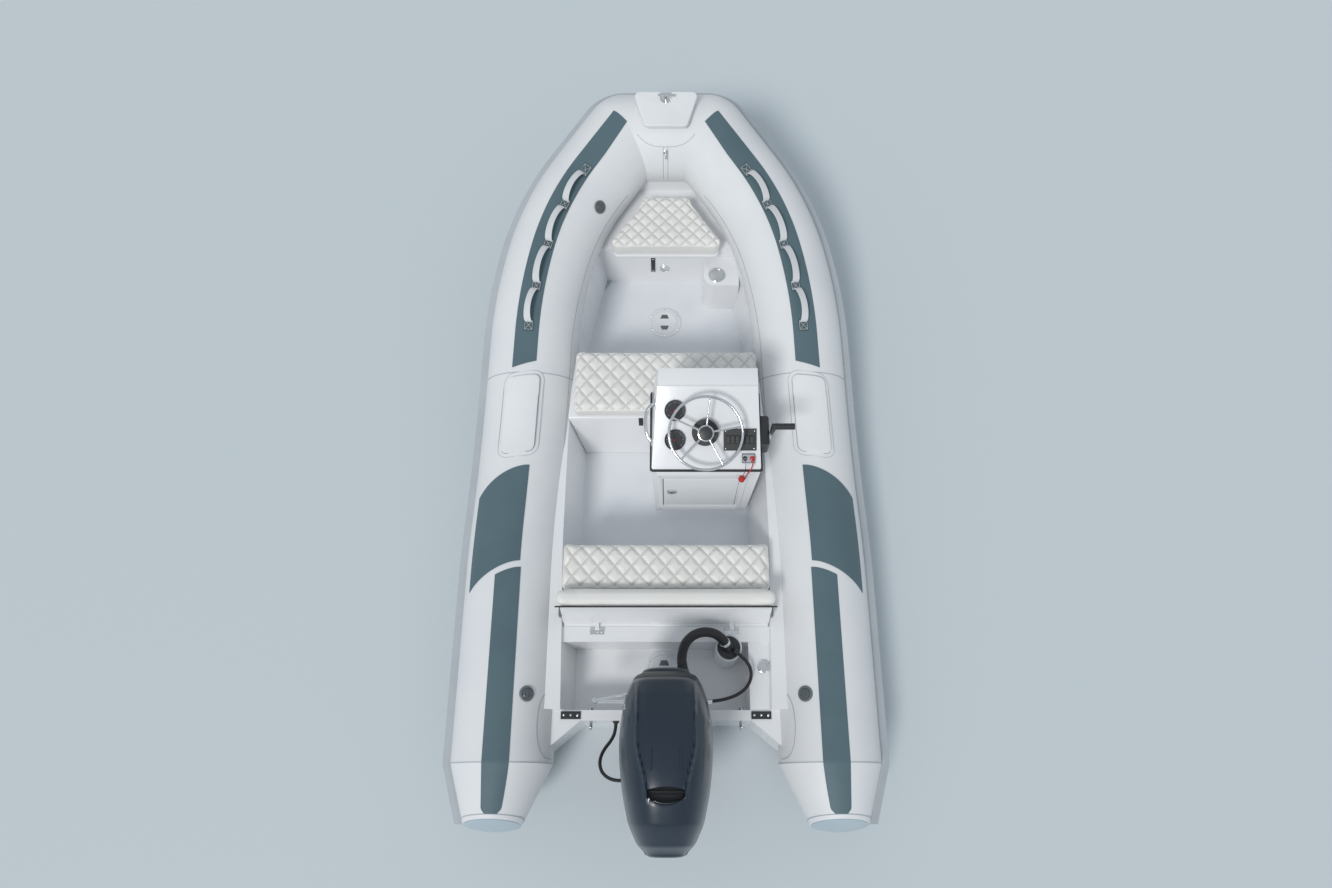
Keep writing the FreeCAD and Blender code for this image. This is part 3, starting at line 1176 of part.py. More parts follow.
def make_leg():
    """Midsection with its steering arm and king pin, gearcase and propeller."""
    front = SWIVEL_Y - SWIVEL_R - SWING
    a, b, c = LEG_HALF
    leg = plan_prism([(-a, front), (a, front), (b, front - LEG_LEN[0]), (c, front - LEG_LEN[1]),
                      (-c, front - LEG_LEN[1]), (-b, front - LEG_LEN[0])], PLATE_Z, COWL_BASE_Z)
    arm_z = SWIVEL_Z[1] + ARM_LIFT
    up_half, low_half = LEG_CLAMP_HALF
    upper = block((-up_half, up_half), (front - SWING, SWIVEL_Y + SWIVEL_R),
                  (arm_z, COWL_BASE_Z))
    lower = block((-low_half, low_half), (front - SWING, SWIVEL_Y + SWIVEL_R),
                  (SWIVEL_Z[0] - ARM_LIFT - LEG_CLAMP_T, SWIVEL_Z[0] - ARM_LIFT))
    arm = block((-STEER_ARM_HALF, STEER_ARM_HALF),
                (SWIVEL_Y, SWIVEL_Y + STEER_ARM_LEN + LINK_EYE_R), (arm_z, arm_z + STEER_ARM_T))
    king = rod(KING_R, V(0, SWIVEL_Y, SWIVEL_Z[0] - SWING), V(0, SWIVEL_Y, arm_z + ARM_LIFT))
    save("midsection", fuse(leg, upper, lower, arm, king))

    def mirrored(outline):
        right = [(half, SWIVEL_Y - aft) for aft, half in outline]
        return right + [(-x, y) for x, y in reversed(right)]

    plate_z = PLATE_Z - ANTI_CAVITATION_T
    plate = plan_prism(mirrored(PLATE_OUTLINE), plate_z, PLATE_Z)
    strut = plan_prism(mirrored(STRUT_OUTLINE), PROP_Z, plate_z)
    nose = V(0, SWIVEL_Y - TORPEDO_AFT, PROP_Z)
    tail = nose - Y_AXIS * TORPEDO_LEN
    shaft_end = tail - Y_AXIS * (PROP_HUB_LEN + PROP_SHAFT_R)
    skeg = side_prism([(SWIVEL_Y - SKEG_ROOT[0], PROP_Z), (SWIVEL_Y - SKEG_ROOT[1], PROP_Z),
                       (SWIVEL_Y - SKEG_TIP[1], SKEG_Z), (SWIVEL_Y - SKEG_TIP[0], SKEG_Z)],
                      -SKEG_HALF, SKEG_HALF)
    save("gearcase", fuse(plate, strut, Part.makeSphere(TORPEDO_R, nose),
                          rod(TORPEDO_R, nose, tail), skeg, rod(PROP_SHAFT_R, tail, shaft_end)))

    hub = Part.makeCone(PROP_HUB_R[0], PROP_HUB_R[1], PROP_HUB_LEN, tail - Y_AXIS * PROP_GAP,
                        Y_AXIS * -1)
    pieces = [hub]
    for k in range(PROP_BLADES):
        blade = blade_form()
        blade.rotate(V(0, 0, 0), Y_AXIS, 360 / PROP_BLADES * k)
        blade.translate(tail - Y_AXIS * (PROP_HUB_LEN * BLADE_PLACE))
        pieces.append(blade)
    bore = rod(PROP_SHAFT_R + RUNNING, nose, V(0, -REACH, PROP_Z))
    save("propeller", fuse(*pieces).cut(bore))


def blade_form():
    """One propeller blade, a twisted plate from the hub outwards."""
    sections = []
    for share, half, pitch, thick in BLADE_SECTIONS:
        angle = math.radians(pitch)
        along = V(math.cos(angle), math.sin(angle), 0) * half
        across = V(-math.sin(angle), math.cos(angle), 0) * thick
        rise = Z_AXIS * (share * PROP_R)
        corners = [rise - along - across, rise + along - across, rise + along + across,
                   rise - along + across]
        sections.append(Part.makePolygon(corners + corners[:1]))
    return Part.makeLoft(sections, True, True)


def make_cowl():
    """Cowl, its pan and the powerhead in the space inside them."""
    middle_height = max(height for _, _, height in COWL_STATIONS)
    intake = block((-INTAKE_HALF, INTAKE_HALF),
                   (SWIVEL_Y - INTAKE_AFT[1], SWIVEL_Y - INTAKE_AFT[0]),
                   (COWL_BASE_Z + middle_height - INTAKE_DEPTH, REACH))
    x, (y0, y1), (z0, z1) = POWERHEAD_X, POWERHEAD_Y, POWERHEAD_Z
    y0, y1 = SWIVEL_Y + y0, SWIVEL_Y + y1
    room = block((-x - SEAT, x + SEAT), (y0 - SEAT, y1 + SEAT), (z0 - SEAT, z1 + SEAT))
    form = COWL_FORM.cut(intake).cut(room)
    save("cowl_pan", form.common(block(ACROSS, ACROSS, (0, COWL_SPLIT_Z))))
    save("cowl", form.common(block(ACROSS, ACROSS, (COWL_SPLIT_Z, REACH))))
    save("powerhead", block((-x, x), (y0, y1), (z0, z1)))


make_collar()
make_collar_fittings()
make_hull()
make_bow_pieces()
make_mid_bench()
make_console()
make_helm()
make_aft_bench()
make_splash_well()
make_hoses()
make_brackets()
make_leg()
make_cowl()
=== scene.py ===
"""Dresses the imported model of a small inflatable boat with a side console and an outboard.

Metres, in the boat's own frame: +X starboard, +Y bow, +Z up, and z = 0 at the waterline.
"""
from __future__ import annotations

import json
import logging
import math
from contextlib import contextmanager
from dataclasses import dataclass, field
from enum import Enum
from math import cos, pi, radians, sin
from typing import Any, Callable, Iterator, Sequence

import bmesh
import bpy
from bpy.types import Material, Node, NodeSocket, NodeTree
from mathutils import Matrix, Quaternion, Vector

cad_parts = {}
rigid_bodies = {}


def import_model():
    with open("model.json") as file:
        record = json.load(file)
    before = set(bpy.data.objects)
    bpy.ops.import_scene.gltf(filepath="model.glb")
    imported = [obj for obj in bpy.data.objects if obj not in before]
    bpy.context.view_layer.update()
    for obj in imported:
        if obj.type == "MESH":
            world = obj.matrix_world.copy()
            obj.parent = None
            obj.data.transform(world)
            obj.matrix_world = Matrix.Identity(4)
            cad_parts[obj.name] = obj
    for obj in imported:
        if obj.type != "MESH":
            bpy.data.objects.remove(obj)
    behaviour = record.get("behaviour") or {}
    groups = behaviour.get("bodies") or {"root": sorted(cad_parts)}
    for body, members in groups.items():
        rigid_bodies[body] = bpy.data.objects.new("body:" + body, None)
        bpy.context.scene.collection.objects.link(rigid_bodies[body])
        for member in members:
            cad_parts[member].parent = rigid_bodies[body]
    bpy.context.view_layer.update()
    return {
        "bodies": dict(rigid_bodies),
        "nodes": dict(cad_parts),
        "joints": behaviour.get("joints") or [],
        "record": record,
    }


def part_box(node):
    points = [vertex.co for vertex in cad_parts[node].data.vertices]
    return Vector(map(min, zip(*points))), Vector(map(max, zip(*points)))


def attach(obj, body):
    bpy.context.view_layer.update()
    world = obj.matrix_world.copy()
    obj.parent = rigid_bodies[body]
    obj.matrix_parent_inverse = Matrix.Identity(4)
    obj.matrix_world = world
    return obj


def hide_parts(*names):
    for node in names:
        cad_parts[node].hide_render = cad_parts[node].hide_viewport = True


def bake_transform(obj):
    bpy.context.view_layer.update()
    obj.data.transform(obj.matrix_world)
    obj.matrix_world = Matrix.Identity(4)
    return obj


logging.basicConfig(level=logging.INFO, format="%(name)s: %(message)s")
LOG = logging.getLogger("boat")

X_AXIS, Y_AXIS, Z_AXIS = Vector((1, 0, 0)), Vector((0, 1, 0)), Vector((0, 0, 1))
Piece = bpy.types.Object
Point = Sequence[float]
Pair = tuple[float, float]
Triple = tuple[float, float, float]
Colour = Triple


class Body(str, Enum):
    """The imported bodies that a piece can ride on."""

    HULL = "hull"
    SWIVEL = "swivel"
    ENGINE = "engine"
    WHEEL = "helm_wheel"
    AFT_LID = "aft_lid"
    BOW_LID = "bow_lid"
    DOOR = "door"


class Relief(Enum):
    """Fine surface relief of a finish."""

    NONE = "none"
    WEAVE = "weave"
    HIDE = "hide"
    PEEL = "peel"
    CAST = "cast"
    BRUSHED = "brushed"


class Tree:
    """Adds nodes to a shader tree or group and joins them up."""

    def __init__(self, tree: NodeTree) -> None:
        """Keeps the tree that the nodes go into."""
        self.tree = tree

    def add(self, kind: str, inputs: dict[str | int, Any] | None = None, **settings: Any) -> Node:
        """Adds one node.

        Args:
            kind: The node's type, without its leading "ShaderNode".
            inputs: Value, or socket to link, for each input by name or number.
            settings: Properties of the node itself.

        Returns:
            The new node.
        """
        prefix = "" if kind.startswith("NodeGroup") else "ShaderNode"
        node = self.tree.nodes.new(prefix + kind)
        for key, value in settings.items():
            setattr(node, key, value)
        for key, value in (inputs or {}).items():
            if isinstance(value, NodeSocket):
                self.tree.links.new(value, node.inputs[key])
            else:
                node.inputs[key].default_value = value
        return node

    def math(self, operation: str, first: Any, second: Any = 0.0) -> NodeSocket:
        """Adds a Math node and returns what it puts out."""
        return self.add("Math", {0: first, 1: second}, operation=operation).outputs[0]

    def ramp(self, value: NodeSocket, low: float, high: float) -> NodeSocket:
        """Maps a value from between low and high to between 0 and 1, with soft ends."""
        node = self.add("MapRange", {"Value": value, "From Min": low, "From Max": high},
            interpolation_type="SMOOTHSTEP")
        return node.outputs[0]


def shader_group(name: str, inputs: dict[str, tuple[str, Any]], outputs: dict[str, str],
                 build: Callable[[Tree, dict[str, Any]], dict[str, Any]]) -> NodeTree:
    """Makes a shader node group once, with named inputs and outputs.

    Args:
        name: Name of the group.
        inputs: Socket type and default value of each input.
        outputs: Socket type of each output.
        build: Adds the nodes and returns the socket for each output.

    Returns:
        The group's node tree.
    """
    if name in bpy.data.node_groups:
        return bpy.data.node_groups[name]
    tree = bpy.data.node_groups.new(name, "ShaderNodeTree")
    for label, (kind, value) in inputs.items():
        socket = tree.interface.new_socket(label, in_out="INPUT", socket_type=kind)
        socket.default_value = value
    for label, kind in outputs.items():
        tree.interface.new_socket(label, in_out="OUTPUT", socket_type=kind)
    kit = Tree(tree)
    entry = kit.add("NodeGroupInput")
    results = build(kit, {label: entry.outputs[label] for label in inputs})
    kit.add("NodeGroupOutput", results)
    return tree


def mottle_group() -> NodeTree:
    """Colour that drifts over the surface, with marks, and a roughness that follows."""

    def build(kit: Tree, given: dict[str, Any]) -> dict[str, Any]:
        """Adds the nodes of the drifting colour and roughness."""
        place = kit.add("TexCoord").outputs["Object"]
        broad = kit.add("TexNoise", {"Vector": place, "Scale": given["Scale"], "Detail": 4.0,
            "Roughness": 0.6}).outputs[0]
        fine_scale = kit.math("MULTIPLY", given["Scale"], 11.0)
        fine = kit.add("TexNoise", {"Vector": place, "Scale": fine_scale, "Detail": 3.0}).outputs[0]
        blend = kit.math("MULTIPLY", kit.ramp(broad, 0.38, 0.7), given["Amount"])
        marks = kit.math("MULTIPLY", kit.ramp(fine, 0.62, 0.8), given["Marks"])
        mixed = kit.add("MixRGB", {"Fac": blend, "Color1": given["Colour"],
            "Color2": given["Shade"]}).outputs[0]
        marked = kit.add("MixRGB", {"Fac": marks, "Color1": mixed, "Color2": given["Shade"]})
        drift = kit.math("MULTIPLY", kit.math("SUBTRACT", fine, 0.5), given["Spread"])
        rough = kit.math("ADD", kit.math("ADD", given["Roughness"], drift),
            kit.math("MULTIPLY", marks, 0.12))
        return {"Colour": marked.outputs[0], "Roughness": rough}

    number, colour = "NodeSocketFloat", "NodeSocketColor"
    white = (1.0, 1.0, 1.0, 1.0)
    return shader_group("Mottle", {"Colour": (colour, white), "Shade": (colour, white),
        "Scale": (number, 3.0), "Amount": (number, 0.4), "Marks": (number, 0.1),
        "Roughness": (number, 0.5), "Spread": (number, 0.1)},
        {"Colour": colour, "Roughness": number}, build)


def relief_group(relief: Relief) -> NodeTree:
    """Height of one kind of fine relief, from 0 to 1."""

    def build(kit: Tree, given: dict[str, Any]) -> dict[str, Any]:
        """Adds the nodes that give the height of this relief."""
        place = kit.add("TexCoord").outputs["Object"]
        if relief is Relief.WEAVE:
            scaled = kit.add("VectorMath", {0: place, "Scale": given["Scale"]}, operation="SCALE")
            parts = kit.add("SeparateXYZ", {0: scaled.outputs[0]}).outputs
            waves = [kit.math("SINE", part) for part in parts]
            pair = kit.math("MULTIPLY", waves[0], waves[1])
            other = kit.math("MULTIPLY", waves[1], waves[2])
            third = kit.math("MULTIPLY", waves[0], waves[2])
            total = kit.math("ADD", kit.math("ADD", pair, other), third)
            return {"Height": kit.math("MULTIPLY_ADD", total, 0.3)}
        if relief is Relief.HIDE:
            cells = kit.add("TexVoronoi", {"Vector": place, "Scale": given["Scale"]},
                feature="SMOOTH_F1").outputs["Distance"]
            pores = kit.add("TexNoise", {"Vector": place, "Scale": given["Scale"],
                "Detail": 2.0}).outputs[0]
            return {"Height": kit.math("ADD", cells, kit.math("MULTIPLY", pores, 0.4))}
        if relief is Relief.BRUSHED:
            stretched = kit.add("Mapping", {"Vector": place, "Scale": (1.0, 1.0, 18.0)})
            lines = kit.add("TexNoise", {"Vector": stretched.outputs[0], "Scale": given["Scale"],
                "Detail": 3.0}).outputs[0]
            return {"Height": lines}
        detail = 5.0 if relief is Relief.CAST else 1.0
        bumps = kit.add("TexNoise", {"Vector": place, "Scale": given["Scale"],
            "Detail": detail}).outputs[0]
        return {"Height": bumps}

    return shader_group("Relief_" + relief.value, {"Scale": ("NodeSocketFloat", 200.0)},
        {"Height": "NodeSocketFloat"}, build)


@dataclass(frozen=True)
class Grain:
    """Fine relief of a finish: its kind, its scale and its depth in metres."""

    relief: Relief = Relief.PEEL
    scale: float = 220.0
    depth: float = 0.0004


@dataclass(frozen=True)
class Finish:
    """A surface finish, and the record's slot that it stands for."""

    name: str
    slot: str
    colour: Colour
    shade: Colour
    roughness: float
    grain: Grain = Grain()
    spread: float = 0.08
    metallic: float = 0.0
    coat: float = 0.0
    sheen: float = 0.0
    mottle_scale: float = 3.0
    amount: float = 0.5
    marks: float = 0.12
    # Mixed in along the "seam" mark: the thread's own colour, together with painted shade in the
    # sewn groove.
    thread_and_groove_shade: Colour | None = None

    def material(self) -> Material:
        """Builds the finish's material once.

        Returns:
            The material, shared by every piece of this finish.
        """
        label = "finish_" + self.name
        if label in bpy.data.materials:
            return bpy.data.materials[label]
        material = bpy.data.materials.new(label)
        material.use_nodes = True
        material.node_tree.nodes.clear()
        kit = Tree(material.node_tree)
        mottle = kit.add("Group", {}, node_tree=mottle_group())
        values = {"Colour": (*self.colour, 1.0), "Shade": (*self.shade, 1.0),
            "Scale": self.mottle_scale, "Amount": self.amount, "Marks": self.marks,
            "Roughness": self.roughness, "Spread": self.spread}
        for label, value in values.items():
            mottle.inputs[label].default_value = value
        colour = mottle.outputs["Colour"]
        # Darkens the stitch lines: partly the thread's own colour, partly painted shade in the sewn
        # groove.
        if self.thread_and_groove_shade:
            seam = kit.add("Attribute", attribute_name="seam").outputs["Fac"]
            colour = kit.add("MixRGB",
                {"Fac": seam, "Color1": colour, "Color2": (*self.thread_and_groove_shade, 1.0)}).outputs[0]
        inputs: dict[str | int, Any] = {"Base Color": colour,
            "Roughness": mottle.outputs["Roughness"], "Metallic": self.metallic,
            "Coat Weight": self.coat, "Coat Roughness": 0.04, "Sheen Weight": self.sheen,
            "Sheen Roughness": 0.4}
        if self.grain.relief is not Relief.NONE:
            relief = kit.add("Group", {}, node_tree=relief_group(self.grain.relief))
            relief.inputs["Scale"].default_value = self.grain.scale
            bump = kit.add("Bump",
                {"Height": relief.outputs["Height"], "Distance": self.grain.depth,
                "Strength": 0.7})
            inputs["Normal"] = bump.outputs[0]
        shader = kit.add("BsdfPrincipled", inputs)
        kit.add("OutputMaterial", {"Surface": shader.outputs[0]})
        material.diffuse_color = (*self.colour, 1.0)
        return material


COLLAR_FABRIC = Finish("collar_fabric", "collar_fabric", (0.8, 0.81, 0.82), (0.7, 0.73, 0.76),
    0.52, Grain(Relief.WEAVE, 2600.0, 0.00012), amount=0.35, sheen=0.08)
GREY_FABRIC = Finish("grey_fabric", "strake", (0.095, 0.155, 0.18), (0.075, 0.125, 0.15), 0.55,
    Grain(Relief.WEAVE, 2600.0, 0.00015), sheen=0.06)
DARK_PATCH = Finish("dark_patch", "webbing", (0.07, 0.11, 0.125), (0.05, 0.08, 0.095), 0.6,
    Grain(Relief.WEAVE, 2600.0, 0.00015))
STRAKE = Finish("strake_rubber", "strake", (0.47, 0.505, 0.53), (0.38, 0.415, 0.44), 0.5,
    Grain(Relief.PEEL, 350.0, 0.0002), amount=0.45)
STEP_PAD = Finish("step_pad_rubber", "step_pad", (0.83, 0.84, 0.85), (0.73, 0.75, 0.77), 0.55,
    Grain(Relief.CAST, 420.0, 0.0005))
GELCOAT = Finish("gelcoat", "gelcoat", (0.84, 0.85, 0.865), (0.76, 0.78, 0.81), 0.2,
    Grain(Relief.PEEL, 45.0, 0.0002), spread=0.1, coat=0.35, amount=0.35)
SOLE_GELCOAT = Finish("sole_gelcoat", "gelcoat", (0.8, 0.82, 0.85), (0.7, 0.73, 0.78), 0.34,
    Grain(Relief.CAST, 260.0, 0.0006), spread=0.12, coat=0.12)
# Its darker stitch colour is the thread's colour plus painted shade in the quilting grooves.
CUSHION_VINYL = Finish("cushion_vinyl", "cushion_vinyl", (0.84, 0.83, 0.8), (0.76, 0.74, 0.7),
    0.48, Grain(Relief.HIDE, 700.0, 0.0003), amount=0.35, sheen=0.05,
    thread_and_groove_shade=(0.5, 0.485, 0.45))
WEBBING = Finish("webbing", "webbing", (0.72, 0.73, 0.74), (0.6, 0.62, 0.64), 0.7,
    Grain(Relief.WEAVE, 1800.0, 0.0004), sheen=0.2)
BLACK_WEBBING = Finish("black_webbing", "webbing", (0.03, 0.03, 0.033), (0.02, 0.02, 0.022), 0.75,
    Grain(Relief.WEAVE, 1800.0, 0.0004), sheen=0.2)
STEEL = Finish("polished_steel", "polished_metal", (0.78, 0.79, 0.8), (0.62, 0.64, 0.66), 0.14,
    Grain(Relief.BRUSHED, 260.0, 0.00004), spread=0.1, metallic=1.0)
BLACK_PLASTIC = Finish("black_plastic", "black_plastic", (0.028, 0.03, 0.033),
    (0.05, 0.052, 0.055), 0.42, Grain(Relief.CAST, 900.0, 0.0002), marks=0.2)
DIAL_FACE = Finish("dial_face", "black_plastic", (0.012, 0.013, 0.015), (0.02, 0.02, 0.022), 0.25,
    Grain(Relief.NONE), coat=1.0)
PRINT_WHITE = Finish("dial_print", "pale_plastic", (0.8, 0.82, 0.82), (0.7, 0.72, 0.72), 0.5,
    Grain(Relief.NONE))
RED_PLASTIC = Finish("red_plastic", "black_plastic", (0.55, 0.02, 0.025), (0.4, 0.015, 0.02), 0.38,
    Grain(Relief.PEEL, 300.0))
PALE_PLASTIC = Finish("pale_plastic", "pale_plastic", (0.78, 0.8, 0.82), (0.68, 0.71, 0.74), 0.4,
    Grain(Relief.CAST, 600.0, 0.0002))
VALVE_PLASTIC = Finish("valve_plastic", "valve_plastic", (0.17, 0.19, 0.2), (0.12, 0.14, 0.15),
    0.42, Grain(Relief.CAST, 700.0, 0.0002))
HOSE_RUBBER = Finish("hose_rubber", "hose_rubber", (0.018, 0.018, 0.02), (0.035, 0.035, 0.037),
    0.5, Grain(Relief.CAST, 900.0, 0.0002))
ENGINE_PAINT = Finish("engine_paint", "engine_paint", (0.006, 0.018, 0.036),
    (0.0045, 0.0135, 0.027), 0.3, Grain(Relief.PEEL, 60.0, 0.00008), spread=0.05, coat=0.3,
    amount=0.6, marks=0.05)
ENGINE_DARK = Finish("engine_dark", "engine_paint", (0.012, 0.014, 0.017), (0.03, 0.033, 0.036),
    0.45, Grain(Relief.CAST, 500.0, 0.0003))
ENGINE_BLOCK = Finish("engine_block", "engine_block", (0.14, 0.15, 0.16), (0.1, 0.11, 0.12), 0.5,
    Grain(Relief.CAST, 160.0, 0.0008), metallic=0.6)
PROPELLER_PAINT = Finish("propeller_metal", "propeller_metal", (0.05, 0.06, 0.07),
    (0.2, 0.21, 0.22), 0.32, Grain(Relief.PEEL, 120.0), metallic=0.5, coat=0.3, marks=0.4)
# Thin seam lines on the tubes and round the step pads: their darker blue-grey is painted shadow
# along each seam's edge, with the seam's own glue line.
SEAM_SHADE = Finish("seam_glue_and_shadow", "collar_fabric", (0.46, 0.51, 0.545), (0.38, 0.43, 0.47), 0.6,
    Grain(Relief.WEAVE, 2600.0, 0.0001))
# Blue-grey of the cone's end disc: painted shade of an end that faces away from the light.
SHADED_CONE_DISC = Finish("cone_disc_painted_shade", "valve_plastic", (0.42, 0.51, 0.57), (0.34, 0.43, 0.49), 0.32,
    Grain(Relief.PEEL, 90.0, 0.0002), coat=0.2)
VALVE_CAP = Finish("valve_cap", "valve_plastic", (0.115, 0.135, 0.145), (0.08, 0.095, 0.105), 0.3,
    Grain(Relief.CAST, 700.0, 0.0002), coat=0.3)
GASKET = Finish("gasket_rubber", "black_plastic", (0.02, 0.021, 0.023), (0.035, 0.036, 0.038), 0.6,
    Grain(Relief.CAST, 800.0, 0.0002))
LAMP = Finish("pilot_lamp", "pale_plastic", (0.45, 0.62, 0.5), (0.35, 0.52, 0.42), 0.25,
    Grain(Relief.NONE), coat=0.6)


def deselect() -> None:
    """Leaves edit mode and selects nothing."""
    if bpy.context.object and bpy.context.object.mode != "OBJECT":
        bpy.ops.object.mode_set(mode="OBJECT")
    bpy.ops.object.select_all(action="DESELECT")


def only(obj: Piece, *others: Piece) -> None:
    """Selects an object, with others if given, and makes the first the active one."""
    deselect()
    for each in (obj, *others):
        each.select_set(True)
    bpy.context.view_layer.objects.active = obj


def set_in_place(obj: Piece) -> Piece:
    """Moves an object's place, turn and size into its mesh."""
    only(obj)
    bpy.ops.object.transform_apply(location=True, rotation=True, scale=True)
    return obj


def modify(obj: Piece, kind: str, **settings: Any) -> Piece:
    """Adds a modifier with its settings and applies it."""
    only(obj)
    modifier = obj.modifiers.new(kind.title(), kind)
    for key, value in settings.items():
        setattr(modifier, key, value)
    bpy.ops.object.modifier_apply(modifier=modifier.name)
    return obj


def smooth(obj: Piece, degrees: float = 40.0) -> Piece:
    """Shades a piece smooth, with creases kept where faces meet at more than an angle."""
    only(obj)
    bpy.ops.object.shade_smooth_by_angle(angle=radians(degrees))
    return obj


def bevelled(obj: Piece, width: float, segments: int = 3) -> Piece:
    """Rounds the sharp edges of a piece."""
    modify(obj, "BEVEL", width=width, segments=segments, limit_method="ANGLE",
        angle_limit=radians(35), use_clamp_overlap=True)
    return smooth(obj)


def carved(obj: Piece, tool: Piece) -> Piece:
    """Cuts a tool out of a piece and removes the tool."""
    modify(obj, "BOOLEAN", object=tool, operation="DIFFERENCE", solver="EXACT")
    bpy.data.objects.remove(tool)
    return obj


@contextmanager
def editing(obj: Piece) -> Iterator[None]:
    """Edits a mesh with all of it selected, and turns its faces outwards at the end."""
    only(obj)
    bpy.ops.object.mode_set(mode="EDIT")
    bpy.ops.mesh.select_all(action="SELECT")
    yield
    bpy.ops.mesh.select_all(action="SELECT")
    bpy.ops.mesh.normals_make_consistent(inside=False)
    bpy.ops.object.mode_set(mode="OBJECT")


def outward(obj: Piece) -> Piece:
    """Merges doubled points and turns every face outwards."""
    with editing(obj):
        bpy.ops.mesh.remove_doubles(threshold=1e-5)
    return obj


def joined(pieces: Sequence[Piece]) -> Piece:
    """Makes one object of several."""
    if len(pieces) > 1:
        only(*pieces)
        bpy.ops.object.join()
    return pieces[0]


def turn_towards(axis: Vector) -> Quaternion:
    """Rotation that stands +Z along an axis."""
    return Z_AXIS.rotation_difference(axis.normalized())


def stood(obj: Piece, foot: Point, axis: Vector) -> Piece:
    """Stands a piece that was made about +Z on a foot, along an axis."""
    obj.rotation_mode = "QUATERNION"
    obj.rotation_quaternion = turn_towards(axis)
    obj.location = foot
    return set_in_place(obj)


def made_of(shape: bmesh.types.BMesh) -> Piece:
    """Makes a mesh under construction an object, and closes its construction."""
    deselect()
    bpy.ops.mesh.primitive_plane_add(size=1)
    obj = bpy.context.object
    shape.to_mesh(obj.data)
    shape.free()
    return obj


def block(low: Point, high: Point, bevel: float = 0.0) -> Piece:
    """A box between two corners, with its edges rounded.

    Args:
        low: Its lowest corner.
        high: Its highest corner.
        bevel: Width of the rounding of its edges.

    Returns:
        The box.
    """
    deselect()
    low, high = Vector(low), Vector(high)
    bpy.ops.mesh.primitive_cube_add(size=1, location=(low + high) / 2)
    obj = bpy.context.object
    obj.scale = high - low
    set_in_place(obj)
    return bevelled(obj, bevel) if bevel else smooth(obj)


def prism(outline: Sequence[Point], push: Point, bevel: float = 0.0, segments: int = 3) -> Piece:
    """A flat outline of 3-D points, pushed along a vector, with its edges rounded.

    Args:
        outline: Corners of the flat face, in order.
        push: How far and which way the face is extruded.
        bevel: Width of the rounding.
        segments: Steps in the rounding.

    Returns:
        The closed solid.
    """
    shape = bmesh.new()
    shape.faces.new([shape.verts.new(corner) for corner in outline])
    obj = made_of(shape)
    with editing(obj):
        bpy.ops.mesh.extrude_region_move(TRANSFORM_OT_translate={"value": Vector(push)})
    return bevelled(obj, bevel, segments) if bevel else smooth(obj)


def rod(start: Point, end: Point, radius: float, end_radius: float | None = None,
        sides: int = 32) -> Piece:
    """A round bar, or a cone, between two points.

    Args:
        start: Middle of its first end.
        end: Middle of its second end.
        radius: Radius at the first end.
        end_radius: Radius at the second end, or None for the same.
        sides: Faces round it.

    Returns:
        The bar.
    """
    deselect()
    start, end = Vector(start), Vector(end)
    bpy.ops.mesh.primitive_cone_add(vertices=sides, radius1=radius,
        radius2=radius if end_radius is None else end_radius, depth=(end - start).length,
        location=(start + end) / 2, rotation=turn_towards(end - start).to_euler())
    return smooth(set_in_place(bpy.context.object))


def mm(*pairs: Pair, start: Pair = (0.0, 0.0)) -> list[Pair]:
    """Pairs of millimetres as metres, counted from a starting pair in metres."""
    return [(start[0] + a / 1000, start[1] + b / 1000) for a, b in pairs]


def lathe(profile: Sequence[Pair], foot: Point, axis: Vector, sides: int = 40) -> Piece:
    """Spins a profile of (radius, height) pairs about an axis.

    Args:
        profile: The half section, from the foot to the head.
        foot: Where height 0 lies on the axis.
        axis: Direction of the axis.
        sides: Steps round the axis.

    Returns:
        The closed, turned piece.
    """
    shape = bmesh.new()
    points = [shape.verts.new((r, 0, h)) for r, h in profile]
    for pair in zip(points, points[1:]):
        shape.edges.new(pair)
    obj = made_of(shape)
    with editing(obj):
        bpy.ops.mesh.spin(steps=sides, angle=2 * pi, center=(0, 0, 0), axis=(0, 0, 1),
            use_auto_merge=True)
        bpy.ops.mesh.select_all(action="SELECT")
        bpy.ops.mesh.remove_doubles(threshold=1e-5)
        bpy.ops.mesh.select_all(action="DESELECT")
        bpy.ops.mesh.select_non_manifold(extend=False)
        bpy.ops.mesh.edge_face_add()
    return smooth(stood(obj, foot, axis), 35)


def torus(centre: Point, axis: Vector, radius: float, thick: float,
          sides: int = 48, ring: int = 12) -> Piece:
    """A ring of round section.

    Args:
        centre: Its middle.
        axis: Direction of its axis.
        radius: Radius of the ring's own middle line.
        thick: Radius of its section.
        sides: Steps round the ring.
        ring: Steps round the section.

    Returns:
        The ring.
    """
    deselect()
    bpy.ops.mesh.primitive_torus_add(location=centre, rotation=turn_towards(axis).to_euler(),
        major_radius=radius, minor_radius=thick, major_segments=sides, minor_segments=ring)
    return smooth(set_in_place(bpy.context.object))


def curve_along(name: str, points: Sequence[Point], radius: float, resolution: int = 0) -> Piece:
    """A curve of one spline, with a round section.

    Args:
        name: Name of the curve.
        points: Its control points, in metres.
        radius: Radius of its round section, or 0 for a bare line.
        resolution: Steps between control points, or 0 for straight runs.

    Returns:
        The curve object.
    """
    curve = bpy.data.curves.new(name, "CURVE")
    curve.dimensions = "3D"
    spline = curve.splines.new("NURBS" if resolution else "POLY")
    spline.points.add(len(points) - 1)
    for slot, point in zip(spline.points, points):
        slot.co = (*point, 1.0)
    if resolution:
        spline.order_u = 3
        spline.use_endpoint_u = True
        spline.resolution_u = resolution
    curve.bevel_depth = radius
    curve.bevel_resolution = 5
    curve.use_fill_caps = True
    obj = bpy.data.objects.new(name, curve)
    bpy.context.scene.collection.objects.link(obj)
    return obj


